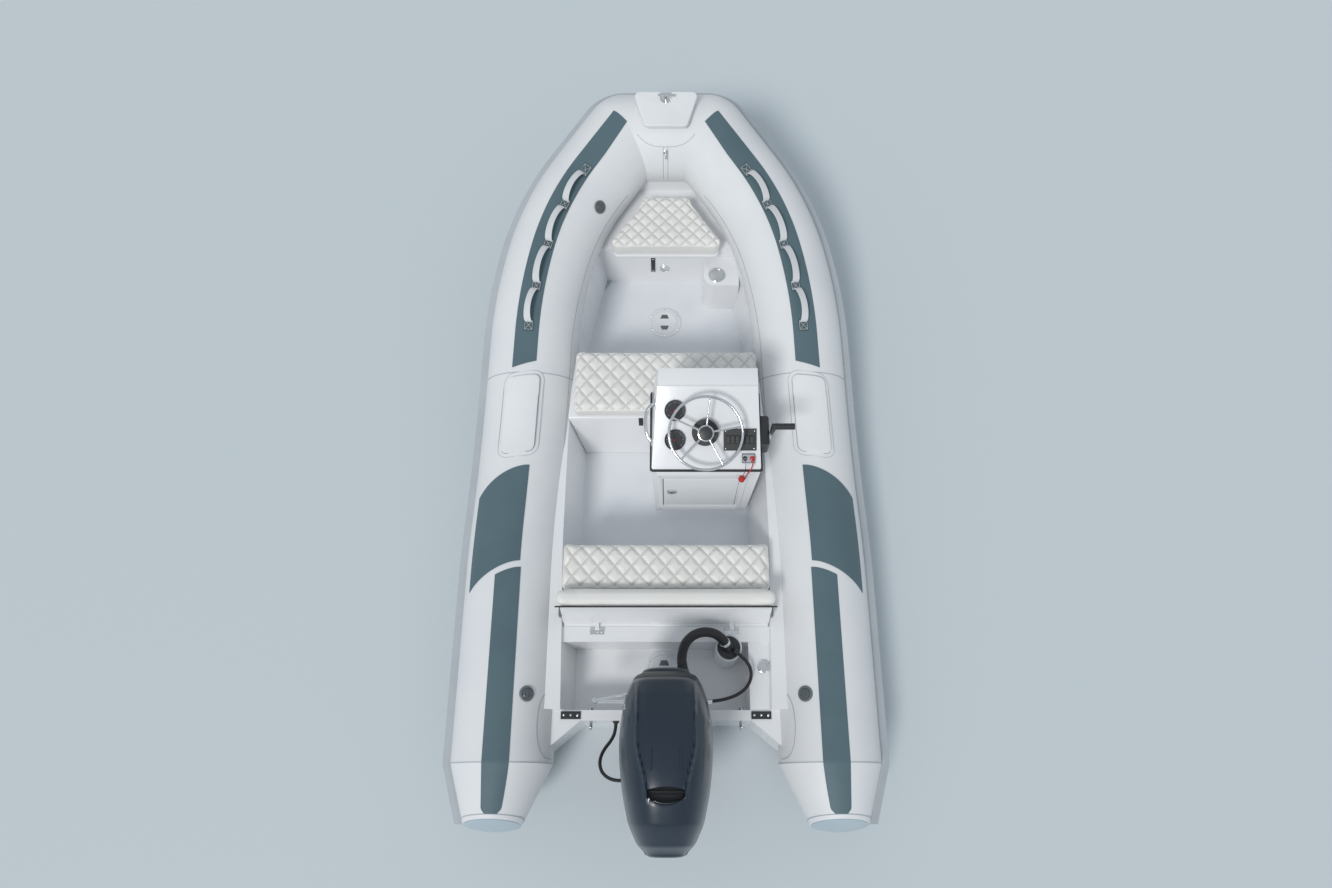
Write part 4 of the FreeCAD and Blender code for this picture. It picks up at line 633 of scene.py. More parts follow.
def line_of(curve: Piece) -> list[Vector]:
    """Points along a curve's own line, as Blender works them out."""
    bare = curve.copy()
    bare.data = curve.data.copy()
    bare.data.bevel_depth = 0.0
    bpy.context.scene.collection.objects.link(bare)
    mesh = bpy.data.meshes.new_from_object(bare)
    points = [vertex.co.copy() for vertex in mesh.vertices]
    bpy.data.objects.remove(bare)
    bpy.data.meshes.remove(mesh)
    return points


def tube(points: Sequence[Vector], radius: float, rounding: float) -> Piece:
    """A round bar through corners.

    Args:
        points: Its ends and the corners between them.
        radius: Radius of the bar.
        rounding: How far from a corner its rounding begins.

    Returns:
        The bar.
    """
    line = [points[0]]
    for before, corner, after in zip(points, points[1:], points[2:]):
        back, ahead = before - corner, after - corner
        reach = min(rounding, back.length / 2, ahead.length / 2)
        first, last = corner + back.normalized() * reach, corner + ahead.normalized() * reach
        for step in range(7):
            low, high = first.lerp(corner, step / 6), corner.lerp(last, step / 6)
            line.append(low.lerp(high, step / 6))
    only(curve_along("bar", [*line, points[-1]], radius))
    bpy.ops.object.convert(target="MESH")
    return smooth(outward(bpy.context.object), 50)


def dress(obj: Piece, finish: Finish) -> Piece:
    """Gives a piece one finish all over."""
    obj.data.materials.clear()
    obj.data.materials.append(finish.material())
    return obj


def fit(obj: Piece | Sequence[Piece], name: str, finish: Finish, body: Body | None = Body.HULL,
        replaces: Sequence[str] = ()) -> Piece:
    """Names and dresses a finished piece, and fixes it to its body.

    Args:
        obj: The piece, or the pieces that are joined into it.
        name: Its name in the scene.
        finish: Its finish.
        body: What it rides on, or None for a piece that is left unattached.
        replaces: CAD nodes that it stands for.

    Returns:
        The piece.
    """
    if not isinstance(obj, Piece):
        obj = joined(obj)
    obj.name = name
    obj.data.name = name
    dress(obj, finish)
    if body:
        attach(obj, body.value)
    if replaces:
        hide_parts(*replaces)
    faces = len(obj.data.polygons) if obj.type == "MESH" else 0
    LOG.info("%s rides on %s, %d faces", name, body.value if body else "two bodies", faces)
    return obj


@dataclass(frozen=True)
class Station:
    """Place and directions at one point of the collar's centre line."""

    place: Vector
    along: Vector
    outward: Vector
    up: Vector

    def skin(self, degrees: float, radius: float, side: int) -> Vector:
        """A point off the centre line, at an angle outboard of the crown, on one side."""
        angle = radians(degrees)
        point = self.place + (self.up * cos(angle) + self.outward * sin(angle)) * radius
        return Vector((side * point.x, point.y, point.z))


@dataclass
class CollarPath:
    """Centre line of the starboard tube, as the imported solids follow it."""

    radius: float = 0.225
    between_tubes: float = 0.502
    tube_bottom: float = 0.045
    bow_inner_y: float = 1.4038
    straight: float = 0.805
    aft_bend: Pair = (6.0, 2.6)
    aft_run: float = 0.063
    sheer_bend: Pair = (3.2, 10.6)
    sheer_run: float = 0.296
    bow_bends: tuple[Pair, ...] = ((2.4, 11.4), (1.35, 21.0))
    bow_run: float = 0.324
    step: float = 0.02
    stations: list[Station] = field(default_factory=list)

    def __post_init__(self) -> None:
        """Walks the line from the stern seam to the bow corner."""
        start = Vector((self.between_tubes + self.radius, 0, self.tube_bottom + self.radius))
        self.stations = [Station(start, Y_AXIS.copy(), X_AXIS.copy(), Z_AXIS.copy())]
        self._run(self.straight)
        self._bend(*self.aft_bend, inboard=True)
        self._run(self.aft_run)
        self._bend(*self.sheer_bend, inboard=False)
        last = self.stations[-1]
        slope = X_AXIS.cross(Vector((0, last.along.y, last.along.z))).normalized()
        self.stations[-1] = Station(last.place, last.along, last.along.cross(slope).normalized(),
            slope)
        self._run(self.sheer_run)
        for radius, degrees in self.bow_bends:
            self._bend(radius, degrees, inboard=True)
        self._run(self.bow_run)
        shift = Y_AXIS * (self.bow_inner_y + self.radius - self.stations[-1].place.y)
        self.stations = [Station(s.place + shift, s.along, s.outward, s.up) for s in self.stations]

    def _run(self, length: float) -> None:
        """Adds stations along a straight run."""
        last = self.stations[-1]
        count = max(1, round(length / self.step))
        for number in range(1, count + 1):
            place = last.place + last.along * (length * number / count)
            self.stations.append(Station(place, last.along, last.outward, last.up))

    def _bend(self, radius: float, degrees: float, inboard: bool) -> None:
        """Adds stations round a bend, inboard or upwards."""
        last = self.stations[-1]
        towards = last.outward * -1 if inboard else last.up
        pivot = last.place + towards * radius
        axis = last.along.cross(towards)
        count = max(1, round(radius * radians(degrees) / self.step))
        for number in range(1, count + 1):
            turn = Quaternion(axis, radians(degrees * number / count))
            self.stations.append(Station(pivot + turn @ (last.place - pivot), turn @ last.along,
                turn @ last.outward, turn @ last.up))

    def at(self, y: float) -> Station:
        """The station whose centre is at a given distance along the boat."""
        before = self.stations[0]
        for after in self.stations[1:]:
            if after.place.y >= y:
                share = (y - before.place.y) / (after.place.y - before.place.y)
                place, *turns = (getattr(before, key).lerp(getattr(after, key), share)
                    for key in ("place", "along", "outward", "up"))
                return Station(place, *(turn.normalized() for turn in turns))
            before = after
        return self.stations[-1]

    def between(self, low: float, high: float) -> list[Station]:
        """Stations from one distance along the boat to another."""
        inner = [s for s in self.stations if low + 1e-4 < s.place.y < high - 1e-4]
        return [self.at(low), *inner, self.at(high)]


def laid(place: Callable[[float, float], Vector], columns: int, rows: int, thick: float,
         side: int = 1, bevel: float = 0.0) -> Piece:
    """A layer glued on a curved surface.

    Args:
        place: Gives the point of its top at a share across and a share along.
        columns: Faces across it.
        rows: Faces along it.
        thick: Its thickness.
        side: -1 where the surface is the mirrored one.
        bevel: Width of the rounding of its edge.

    Returns:
        The closed layer.
    """
    deselect()
    bpy.ops.mesh.primitive_grid_add(x_subdivisions=columns, y_subdivisions=rows, size=2)
    obj = bpy.context.object
    for vertex in obj.data.vertices:
        vertex.co = place((vertex.co.x + 1) / 2, (vertex.co.y + 1) / 2)
    if side < 0:
        obj.data.flip_normals()
    modify(obj, "SOLIDIFY", thickness=thick, offset=-1.0)
    return bevelled(obj, bevel, 3) if bevel else smooth(obj, 50)


def rounded(across: float, along: float, half: Point, corner: float) -> Pair:
    """Maps a point of the square from -1 to 1 into a rectangle with round corners.

    Args:
        across: Place across the square.
        along: Place along the square.
        half: Half the width and half the length of the rectangle.
        corner: Radius of its corners.

    Returns:
        The place in the rectangle.
    """
    place = [across * half[0], along * half[1]]
    over = [abs(value) - (size - corner) for value, size in zip(place, half)]
    if min(over) > 0:
        a, b = over[0] / corner, over[1] / corner
        bent = (a * math.sqrt(1 - b * b / 2), b * math.sqrt(1 - a * a / 2))
        place = [math.copysign(size - corner + corner * share, value)
            for value, size, share in zip(place, half, bent)]
    return place[0], place[1]


def swept(line: Sequence[Vector], radius: float | Callable[[float], float],
          sides: int = 20, step: float = 0.0) -> Piece:
    """A closed tube round a line of points.

    Args:
        line: Points of its centre line.
        radius: Its radius, or what gives it at a distance along the line.
        sides: Faces round it.
        step: Distance between its rings, or 0 to keep the line's own points.

    Returns:
        The tube.
    """
    points = evenly(line, step) if step else list(line)
    shape = bmesh.new()
    normal = (points[1] - points[0]).orthogonal()
    rings: list[list[bmesh.types.BMVert]] = []
    along = 0.0
    for number, point in enumerate(points):
        ahead = points[min(number + 1, len(points) - 1)]
        behind = points[max(number - 1, 0)]
        if number:
            along += (point - behind).length
        tangent = (ahead - behind).normalized()
        normal = (normal - tangent * normal.dot(tangent)).normalized()
        other = tangent.cross(normal)
        reach = radius(along) if callable(radius) else radius
        ring = []
        for side in range(sides):
            angle = 2 * pi * side / sides
            out = normal * cos(angle) + other * sin(angle)
            ring.append(shape.verts.new(point + out * reach))
        rings.append(ring)
    for low, high in zip(rings, rings[1:]):
        for side in range(sides):
            following = (side + 1) % sides
            shape.faces.new((low[side], low[following], high[following], high[side]))
    shape.faces.new(list(reversed(rings[0])))
    shape.faces.new(rings[-1])
    return smooth(made_of(shape), 55)


def evenly(line: Sequence[Vector], step: float) -> list[Vector]:
    """Points at even distances along a line of points, with its two ends kept.

    Args:
        line: Points of the line.
        step: Distance between the new points.

    Returns:
        The new points.
    """
    points = [line[0].copy()]
    wanted = step
    travelled = 0.0
    for before, after in zip(line, line[1:]):
        length = (after - before).length
        while travelled + length >= wanted:
            points.append(before.lerp(after, (wanted - travelled) / length))
            wanted += step
        travelled += length
    if (points[-1] - line[-1]).length < step / 2:
        points.pop()
    return [*points, line[-1].copy()]


def length_of(points: Sequence[Vector]) -> float:
    """Length of a line of points."""
    return sum((b - a).length for a, b in zip(points, points[1:]))


def softened(source: Piece, bevel: float) -> Piece:
    """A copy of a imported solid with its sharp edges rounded.

    Args:
        source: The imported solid.
        bevel: Width of the rounding.

    Returns:
        The copy, a mesh of its own.
    """
    shape = bmesh.new()
    shape.from_mesh(source.data)
    bmesh.ops.remove_doubles(shape, verts=shape.verts, dist=1e-5)
    bmesh.ops.dissolve_limit(shape, angle_limit=radians(1.0), verts=shape.verts, edges=shape.edges)
    return bevelled(made_of(shape), bevel)


def studs(places: Sequence[Point], axis: Vector, radius: float, height: float) -> Piece:
    """Domed screw heads in one piece, all facing the same way."""
    profile = [(radius, -0.001), (radius, height * 0.3), (radius * 0.7, height * 0.8),
        (radius * 0.25, height)]
    return joined([lathe(profile, place, axis, sides=10) for place in places])


@dataclass
class Studio:
    """Floor at the waterline, soft light and the photograph's camera."""

    camera_place: Point = (0.0, -1.7, 4.46)
    camera_tilt: float = 21.8
    lens: float = 24.0
    floor_size: float = 60.0
    floor_colour: Colour = (0.6, 0.66, 0.69)
    sky: Colour = (0.86, 0.93, 1.0)
    sky_strength: float = 0.55
    sun_strength: float = 1.5
    sun_turn: Point = (radians(38), radians(-24), 0.0)

    def build(self) -> None:
        """Adds the floor, the lights and the camera."""
        scene = bpy.context.scene
        scene.view_settings.view_transform = "Standard"
        deselect()
        bpy.ops.mesh.primitive_plane_add(size=self.floor_size)
        floor = bpy.context.object
        floor.name = "floor"
        floor.data.materials.append(self._floor_material())
        world = bpy.data.worlds.new("sky")
        world.use_nodes = True
        scene.world = world
        background = world.node_tree.nodes["Background"]
        background.inputs["Color"].default_value = (*self.sky, 1.0)
        background.inputs["Strength"].default_value = self.sky_strength
        bpy.ops.object.light_add(type="SUN", rotation=self.sun_turn)
        sun = bpy.context.object
        sun.data.energy = self.sun_strength
        sun.data.angle = radians(14)
        sun.data.color = (1.0, 0.985, 0.96)
        camera_data = bpy.data.cameras.new("camera")
        camera_data.lens = self.lens
        camera_data.sensor_width = 36.0
        camera_data.clip_end = 200.0
        camera = bpy.data.objects.new("camera", camera_data)
        camera.location = self.camera_place
        camera.rotation_euler = (radians(self.camera_tilt), 0.0, 0.0)
        scene.collection.objects.link(camera)
        scene.camera = camera

    def _floor_material(self) -> Material:
        """A plain pale surface."""
        material = bpy.data.materials.new("floor")
        material.use_nodes = True
        shader = material.node_tree.nodes["Principled BSDF"]
        shader.inputs["Base Color"].default_value = (*self.floor_colour, 1.0)
        shader.inputs["Roughness"].default_value = 0.6
        return material


@dataclass
class Skin:
    """The collar's outside surface: side tubes, stern cones and the bow tube."""

    path: CollarPath
    cone_length: float = 0.245
    cone_end_radius: float = 0.127
    cone_shift: Point = (0.018, 0.0, 0.05)
    cone_tilt: float = 12.0
    ribbon_lift: float = 0.0005
    ribbon_thick: float = 0.0012

    def side(self, side: int, y: float, degrees: float, lift: float) -> Vector:
        """A point over a side tube, or over its stern cone where y is aft of the seam.

        Args:
            side: 1 for starboard, -1 for port.
            y: Place along the boat.
            degrees: Angle outboard of the tube's crown.
            lift: Height over the tube.

        Returns:
            The point.
        """
        start = self.path.stations[0]
        if y >= start.place.y:
            return self.path.at(y).skin(degrees, self.path.radius + lift, side)
        share = (start.place.y - y) / self.cone_length
        near = start.skin(degrees, self.path.radius + lift, side)
        tilt, angle = radians(self.cone_tilt), radians(degrees)
        up = Vector((0.0, sin(tilt), cos(tilt)))
        centre = start.place + Vector(self.cone_shift) - Y_AXIS * self.cone_length
        out = up * cos(angle) + X_AXIS * sin(angle)
        far = centre + out * (self.cone_end_radius + lift)
        return near.lerp(Vector((side * far.x, far.y, far.z)), share)

    def bow(self, x: float, degrees: float, lift: float) -> Vector:
        """A point over the bow tube, at an angle forward of its crown.

        Args:
            x: Place across the boat.
            degrees: Angle forward of the crown.
            lift: Height over the tube.

        Returns:
            The point.
        """
        corner = self.path.stations[-1]
        angle = radians(degrees)
        ahead = corner.up.cross(X_AXIS)
        out = corner.up * cos(angle) + ahead * sin(angle)
        return Vector((x, corner.place.y, corner.place.z)) + out * (self.path.radius + lift)

    def way_out(self, side: int, y: float, degrees: float) -> Vector:
        """The direction straight out of a side tube at a point."""
        return (self.side(side, y, degrees, 0.01) - self.side(side, y, degrees, 0.0)).normalized()

    def ribbon(self, side: int, course: Sequence[Pair], width: float) -> Piece:
        """A narrow strip on a side tube, along a course of (y, degrees) points.

        Args:
            side: 1 for starboard, -1 for port.
            course: The points that it follows.
            width: Its width.

        Returns:
            The strip.
        """
        rows = len(course) - 1
        radius = self.path.radius

        def place(across: float, along: float) -> Vector:
            """A point of the strip, square to the way its course runs."""
            number = round(along * rows)
            y, degrees = course[number]
            before, after = course[max(number - 1, 0)], course[min(number + 1, rows)]
            run = Vector((after[0] - before[0], radians(after[1] - before[1]) * radius))
            run.normalize()
            shift = (across - 0.5) * width
            return self.side(side, y - run.y * shift,
                degrees + math.degrees(run.x * shift / radius),
                self.ribbon_lift + self.ribbon_thick)

        return laid(place, 1, rows, self.ribbon_thick, side)


@dataclass
class Collar:
    """What is glued and fitted on the inflated tubes."""

    skin: Skin
    stripe_lift: float = 0.0012
    stripe_inner: float = -16.5
    stripe_outer: float = 13.0
    stripe_cone_inner: float = -22.0
    stripe_end_y: float = -1.782
    stripe_chamfer: float = 0.022
    stripe_tip: float = 0.62
    panel_degrees: Pair = (-15.0, 52.0)
    panel_fore: Triple = (-0.203, 0.165, 1.6)
    panel_aft: Triple = (-0.684, 0.135, 1.5)
    panel_gap: float = 0.031
    bow_stripe: tuple[Triple, ...] = ((0.3, -12.5, 17.5), (1.2, -12.5, 17.0), (1.45, -11.5, 16.5),
        (1.63, -8.0, 16.0))
    bow_stripe_slant: float = 0.038
    bow_stripe_end: float = 1.618
    patches: tuple[Pair, ...] = ((0.513, 0.5), (0.717, -2.0), (0.937, -4.0), (1.152, -4.5),
        (1.338, -4.0))
    patch_half: Point = (0.023, 0.028)
    loop_width: float = 0.035
    loop_rise: float = 0.036
    loop_lean: float = 0.016
    loop_thick: float = 0.003
    step_y: float = 0.059
    step_half: Point = (0.076, 0.199)
    step_degrees: float = 1.5
    step_slant: float = 0.16
    step_thick: float = 0.014
    step_corner: float = 0.03
    valves: tuple[tuple[int, float, float], ...] = ((1, -1.273, -32.0), (-1, -1.273, -32.0),
        (-1, 1.241, -47.0))
    valve_radius: float = 0.034
    seam_width: float = 0.0035

    def build(self) -> None:
        """Adds stripes, panels, handles, pads, valves and seams."""
        for side, word in ((1, "starboard"), (-1, "port")):
            self._stripes(side, word)
            self._handles(side, word)
            self._step(side, word)
            self._seams(side, word)
            self._cone_end(side, word)
        self._valves()
        self._bow_seams()

    def _panel_edge(self, curve: Triple, degrees: float) -> float:
        """Where a curved edge of the side panel lies at an angle."""
        start, sweep, power = curve
        low, high = self.panel_degrees
        return start - sweep * max(0.0, (degrees - low) / (high - low)) ** power

    def _stripes(self, side: int, word: str) -> None:
        """The long grey stripes and the side panel between them."""

        def panel(across: float, along: float) -> Vector:
            """A point of the side panel, between its two curved edges."""
            low, high = self.panel_degrees
            degrees = low + (high - low) * across
            aft = self._panel_edge(self.panel_aft, degrees)
            fore = self._panel_edge(self.panel_fore, degrees)
            return self.skin.side(side, aft + (fore - aft) * along, degrees, self.stripe_lift * 2)

        def aft_stripe(across: float, along: float) -> Vector:
            """A point of the aft stripe, which narrows over the cone."""
            degrees = self.stripe_inner + (self.stripe_outer - self.stripe_inner) * across
            top = self._panel_edge(self.panel_aft, degrees) - self.panel_gap
            y = self.stripe_end_y + (top - self.stripe_end_y) * along
            seam = self.skin.path.stations[0].place.y
            if y < seam:
                share = (seam - y) / (seam - self.stripe_end_y)
                inner = self.stripe_inner + (self.stripe_cone_inner - self.stripe_inner) * share
                degrees = inner + (self.stripe_outer - inner) * across
                near = min(1.0, (y - self.stripe_end_y) / self.stripe_chamfer)
                middle = (inner + self.stripe_outer) / 2
                narrow = self.stripe_tip + (1 - self.stripe_tip) * near
                degrees = middle + (degrees - middle) * narrow
            return self.skin.side(side, y, degrees, self.stripe_lift * 2)

        def bow_stripe(across: float, along: float) -> Vector:
            """A point of the bow stripe, whose edges follow a table."""
            low = self.bow_stripe[0][0] + self.bow_stripe_slant * (1 - across)
            y = low + (self.bow_stripe_end + 0.014 * across - low) * along
            inner, outer = self.bow_stripe[-1][1:]
            for before, after in zip(self.bow_stripe, self.bow_stripe[1:]):
                if y <= after[0]:
                    share = (y - before[0]) / (after[0] - before[0])
                    inner = before[1] + (after[1] - before[1]) * share
                    outer = before[2] + (after[2] - before[2]) * share
                    break
            return self.skin.side(side, y, inner + (outer - inner) * across, self.stripe_lift * 2)

        layers = (("side_panel_", panel, 22, 30), ("stripe_aft_", aft_stripe, 10, 110),
            ("stripe_bow_", bow_stripe, 10, 80))
        for name, place, columns, rows in layers:
            fit(laid(place, columns, rows, self.stripe_lift, side), name + word, GREY_FABRIC)

    def _handles(self, side: int, word: str) -> None:
        """Stitched patches with a webbing loop from each one to the next."""
        half_across, half_along = self.patch_half
        radius = self.skin.path.radius
        patches, threads = [], []
        for y, degrees in self.patches:
            def at(u: float, v: float, lift: float) -> Vector:
                """A point of the patch, with u and v from -1 to 1."""
                turn = math.degrees(u * half_across / radius)
                return self.skin.side(side, y + v * half_along, degrees + turn, lift)

            def patch(across: float, along: float) -> Vector:
                """A point of the patch's own sheet."""
                return at(2 * across - 1, 2 * along - 1, 0.006)

            patches.append(laid(patch, 6, 6, 0.003, side))
            corners = [(a, b) for a in (-0.78, 0.78) for b in (-0.78, 0.78)]
            for first, last in ((0, 3), (1, 2), (0, 1), (2, 3), (0, 2), (1, 3)):
                (u0, v0), (u1, v1) = corners[first], corners[last]
                line = [at(u0 + (u1 - u0) * k / 6, v0 + (v1 - v0) * k / 6, 0.0062)
                    for k in range(7)]
                threads.append(swept(line, 0.0008, sides=5))
        fit(patches, "handle_patches_" + word, DARK_PATCH)
        fit(threads, "handle_stitches_" + word, WEBBING)
        loops = [self._loop(side, low, high) for low, high in zip(self.patches, self.patches[1:])]
        fit(loops, "handle_loops_" + word, WEBBING, replaces=["grab_handles"])

    def _loop(self, side: int, low: Pair, high: Pair) -> Piece:
        """One band that rises from a patch, leans outboard and comes down on the next.

        Args:
            side: 1 for starboard, -1 for port.
            low: Place of the patch that it rises from.
            high: Place of the patch that it comes down on.

        Returns:
            The band.
        """
        start, finish = low[0] + self.patch_half[1] * 0.5, high[0] - self.patch_half[1] * 0.5
        lean = math.atan2(self.loop_lean, self.loop_rise)

        def place(across: float, along: float) -> Vector:
            """A point of the band."""
            y = start + (finish - start) * along
            degrees = low[1] + (high[1] - low[1]) * along
            swell = sin(pi * along) ** 0.5
            station = self.skin.path.at(y)
            angle = radians(degrees)
            out = station.up * cos(angle) + station.outward * sin(angle)
            beside = station.outward * cos(angle) - station.up * sin(angle)
            centre = (station.place + out * (self.skin.path.radius + 0.0078)
                + (out * self.loop_rise + beside * self.loop_lean) * swell)
            tip = lean * swell
            width = beside * cos(tip) - out * sin(tip)
            point = centre + width * ((across - 0.5) * self.loop_width)
            return Vector((side * point.x, point.y, point.z))

        return laid(place, 4, 36, self.loop_thick, side, bevel=0.0008)

    def _step(self, side: int, word: str) -> None:
        """The moulded step pad with the raised border round it."""
        radius = self.skin.path.radius

        def sheet(grow: float, lift: float, corner: float) -> Callable[[float, float], Vector]:
            """The surface of a sheet that is larger than the pad."""
            half = (self.step_half[0] + grow, self.step_half[1] + grow)

            def place(across: float, along: float) -> Vector:
                """A point of the sheet."""
                u, v = rounded(2 * across - 1, 2 * along - 1, half, corner)
                return self.skin.side(side, self.step_y + v - u * self.step_slant,
                    self.step_degrees + math.degrees(u / radius), lift)

            return place

        fit(laid(sheet(0.0, self.step_thick + 0.003, self.step_corner), 24, 40, self.step_thick,
            side, bevel=0.004), "side_step_pad_" + word, STEP_PAD, Body.HULL,
            ["side_step_pads"] if side > 0 else [])
        fit(laid(sheet(0.022, 0.0034, self.step_corner + 0.018), 24, 40, 0.0026, side),
            "step_border_" + word, COLLAR_FABRIC)
        # The beads round the pad and its border are darker strips of painted shadow along their
        # edges.
        rims = [self._rim(side, 0.0035, 0.0016), self._rim(side, 0.0225, 0.0011)]
        fit(rims, "step_border_seams_" + word, SEAM_SHADE)

    def _rim(self, side: int, grow: float, radius: float) -> Piece:
        """A fine darker bead round the step pad, a little outside its edge, coloured as painted
        shadow.

        Args:
            side: 1 for starboard, -1 for port.
            grow: How far outside the pad's edge it lies.
            radius: Radius of the bead.

        Returns:
            The bead.
        """
        half = (self.step_half[0] + grow, self.step_half[1] + grow)
        corner = self.step_corner + grow
        line = []
        for quarter, (sx, sy) in enumerate(((1, 1), (-1, 1), (-1, -1), (1, -1))):
            for step in range(7):
                angle = pi / 2 * (quarter + step / 6)
                u = sx * (half[0] - corner) + corner * cos(angle)
                v = sy * (half[1] - corner) + corner * sin(angle)
                line.append(self.skin.side(side, self.step_y + v - u * self.step_slant,
                    self.step_degrees + math.degrees(u / self.skin.path.radius), 0.0035))
        line.append(line[0].copy())
        return swept(evenly(line, 0.008), radius, sides=6)

    def _seams(self, side: int, word: str) -> None:
        """Seams round the tube, along its inner side and round the transom's doubler."""
        seam_y = self.skin.path.stations[0].place.y
        sweep = [(-112 + 4 * k) for k in range(56)]
        ring = [(seam_y, d) for d in sweep]
        end_ring = [(seam_y - self.skin.cone_length * 0.93, d) for d in sweep]
        joint = [(-0.02 - 0.035 * (d + 112) / 224 + 0.315, d) for d in sweep if -80 < d < 72]
        inner = [(-0.3 + 0.02 * k, -63.0 - 13.0 * max(0.0, (k - 40) / 45)) for k in range(86)]
        doubler = []
        for step in range(25):
            angle = pi * step / 24 - pi / 2
            doubler.append((-1.395 + 0.142 * sin(angle),
                -78.0 + 31.0 * cos(angle) ** 0.5 if cos(angle) > 0.02 else -78.0))
        # Each seam is a darker strip: painted shadow along the seam's edge, with its glue line.
        strips = [self.skin.ribbon(side, course, self.seam_width)
            for course in (ring, end_ring, joint, inner, doubler)]
        fit(strips, "collar_seams_" + word, SEAM_SHADE)

    def _cone_end(self, side: int, word: str) -> None:
        """The smooth domed disc in the end of a stern cone, its blue-grey colour painted shade."""
        skin = self.skin
        start = skin.path.stations[0].place
        tilt = radians(skin.cone_tilt)
        aft = Vector((0.0, -cos(tilt), sin(tilt)))
        centre = start + Vector(skin.cone_shift) - Y_AXIS * skin.cone_length
        centre = Vector((side * centre.x, centre.y, centre.z))
        fit(lathe(mm((123.5, -4), (123.5, 4.5), (118, 7.5), (100, 12.5), (75, 18.5), (45, 23.2),
            (18, 25.5), (3, 26)), centre, aft, 64), "cone_end_" + word, SHADED_CONE_DISC)

    def _valves(self) -> None:
        """Air valves with a flange and an eight-sided cap."""
        flanges, caps = [], []
        for side, y, degrees in self.valves:
            foot = self.skin.side(side, y, degrees, 0.0)
            out = self.skin.way_out(side, y, degrees)
            r = self.valve_radius
            flanges.append(lathe(mm((0, -6), (0, 3), (-3, 5.5), (-9, 6), (-11, 3), (-27, 3),
                start=(r, 0)), foot, out, 32))
            cap = lathe(mm((-12, 2), (-12, 8.5), (-14.5, 11), (-20, 11.5), (-21, 10), (-28, 10),
                start=(r, 0)), foot, out, 8)
            grip = block((-0.0045, -0.016, 0.009), (0.0045, 0.016, 0.0135), bevel=0.0015)
            caps += [cap, stood(grip, foot, out)]
        fit(flanges, "air_valve_flanges", VALVE_PLASTIC, replaces=["air_valves"])
        fit(caps, "air_valve_caps", VALVE_CAP)

    def _bow_seams(self) -> None:
        """Seams on the bow tube's aft face and the small hook below the step pad."""
        courses = []
        for x in (-0.014, 0.01):
            courses.append([(x, -40.0 - 3.0 * k) for k in range(19)])
        for side in (-1, 1):
            courses.append([(side * (0.15 - 0.0022 * k), -44.0 - 3.0 * k) for k in range(17)])
        courses.append([(-0.15 + 0.0075 * k, -40.0 + 16.0 * abs(k - 20) ** 3 / 8000)
            for k in range(41)])
        # Darker lines for the bow tube's seams: painted shadow along each seam, with its glue line.
        strips = []
        for course in courses:
            line = [self.skin.bow(x, degrees, 0.0004) for x, degrees in course]
            strips.append(swept(line, 0.0014, sides=6))
        fit(strips, "bow_seams", SEAM_SHADE)
        foot = self.skin.bow(-0.002, -47.0, 0.0)
        out = (self.skin.bow(-0.002, -47.0, 0.01) - foot).normalized()
        down = (self.skin.bow(-0.002, -57.0, 0.0) - foot).normalized()
        plate = lathe(mm((13, 0), (13, 2.5), (10, 4), (3, 4.5)), foot, out)
        hook = tube([foot, foot + out * 0.018, foot + out * 0.02 + down * 0.03,
            foot + out * 0.006 + down * 0.034], 0.0032, rounding=0.01)
        fit([plate, hook], "bow_hook", STEEL)


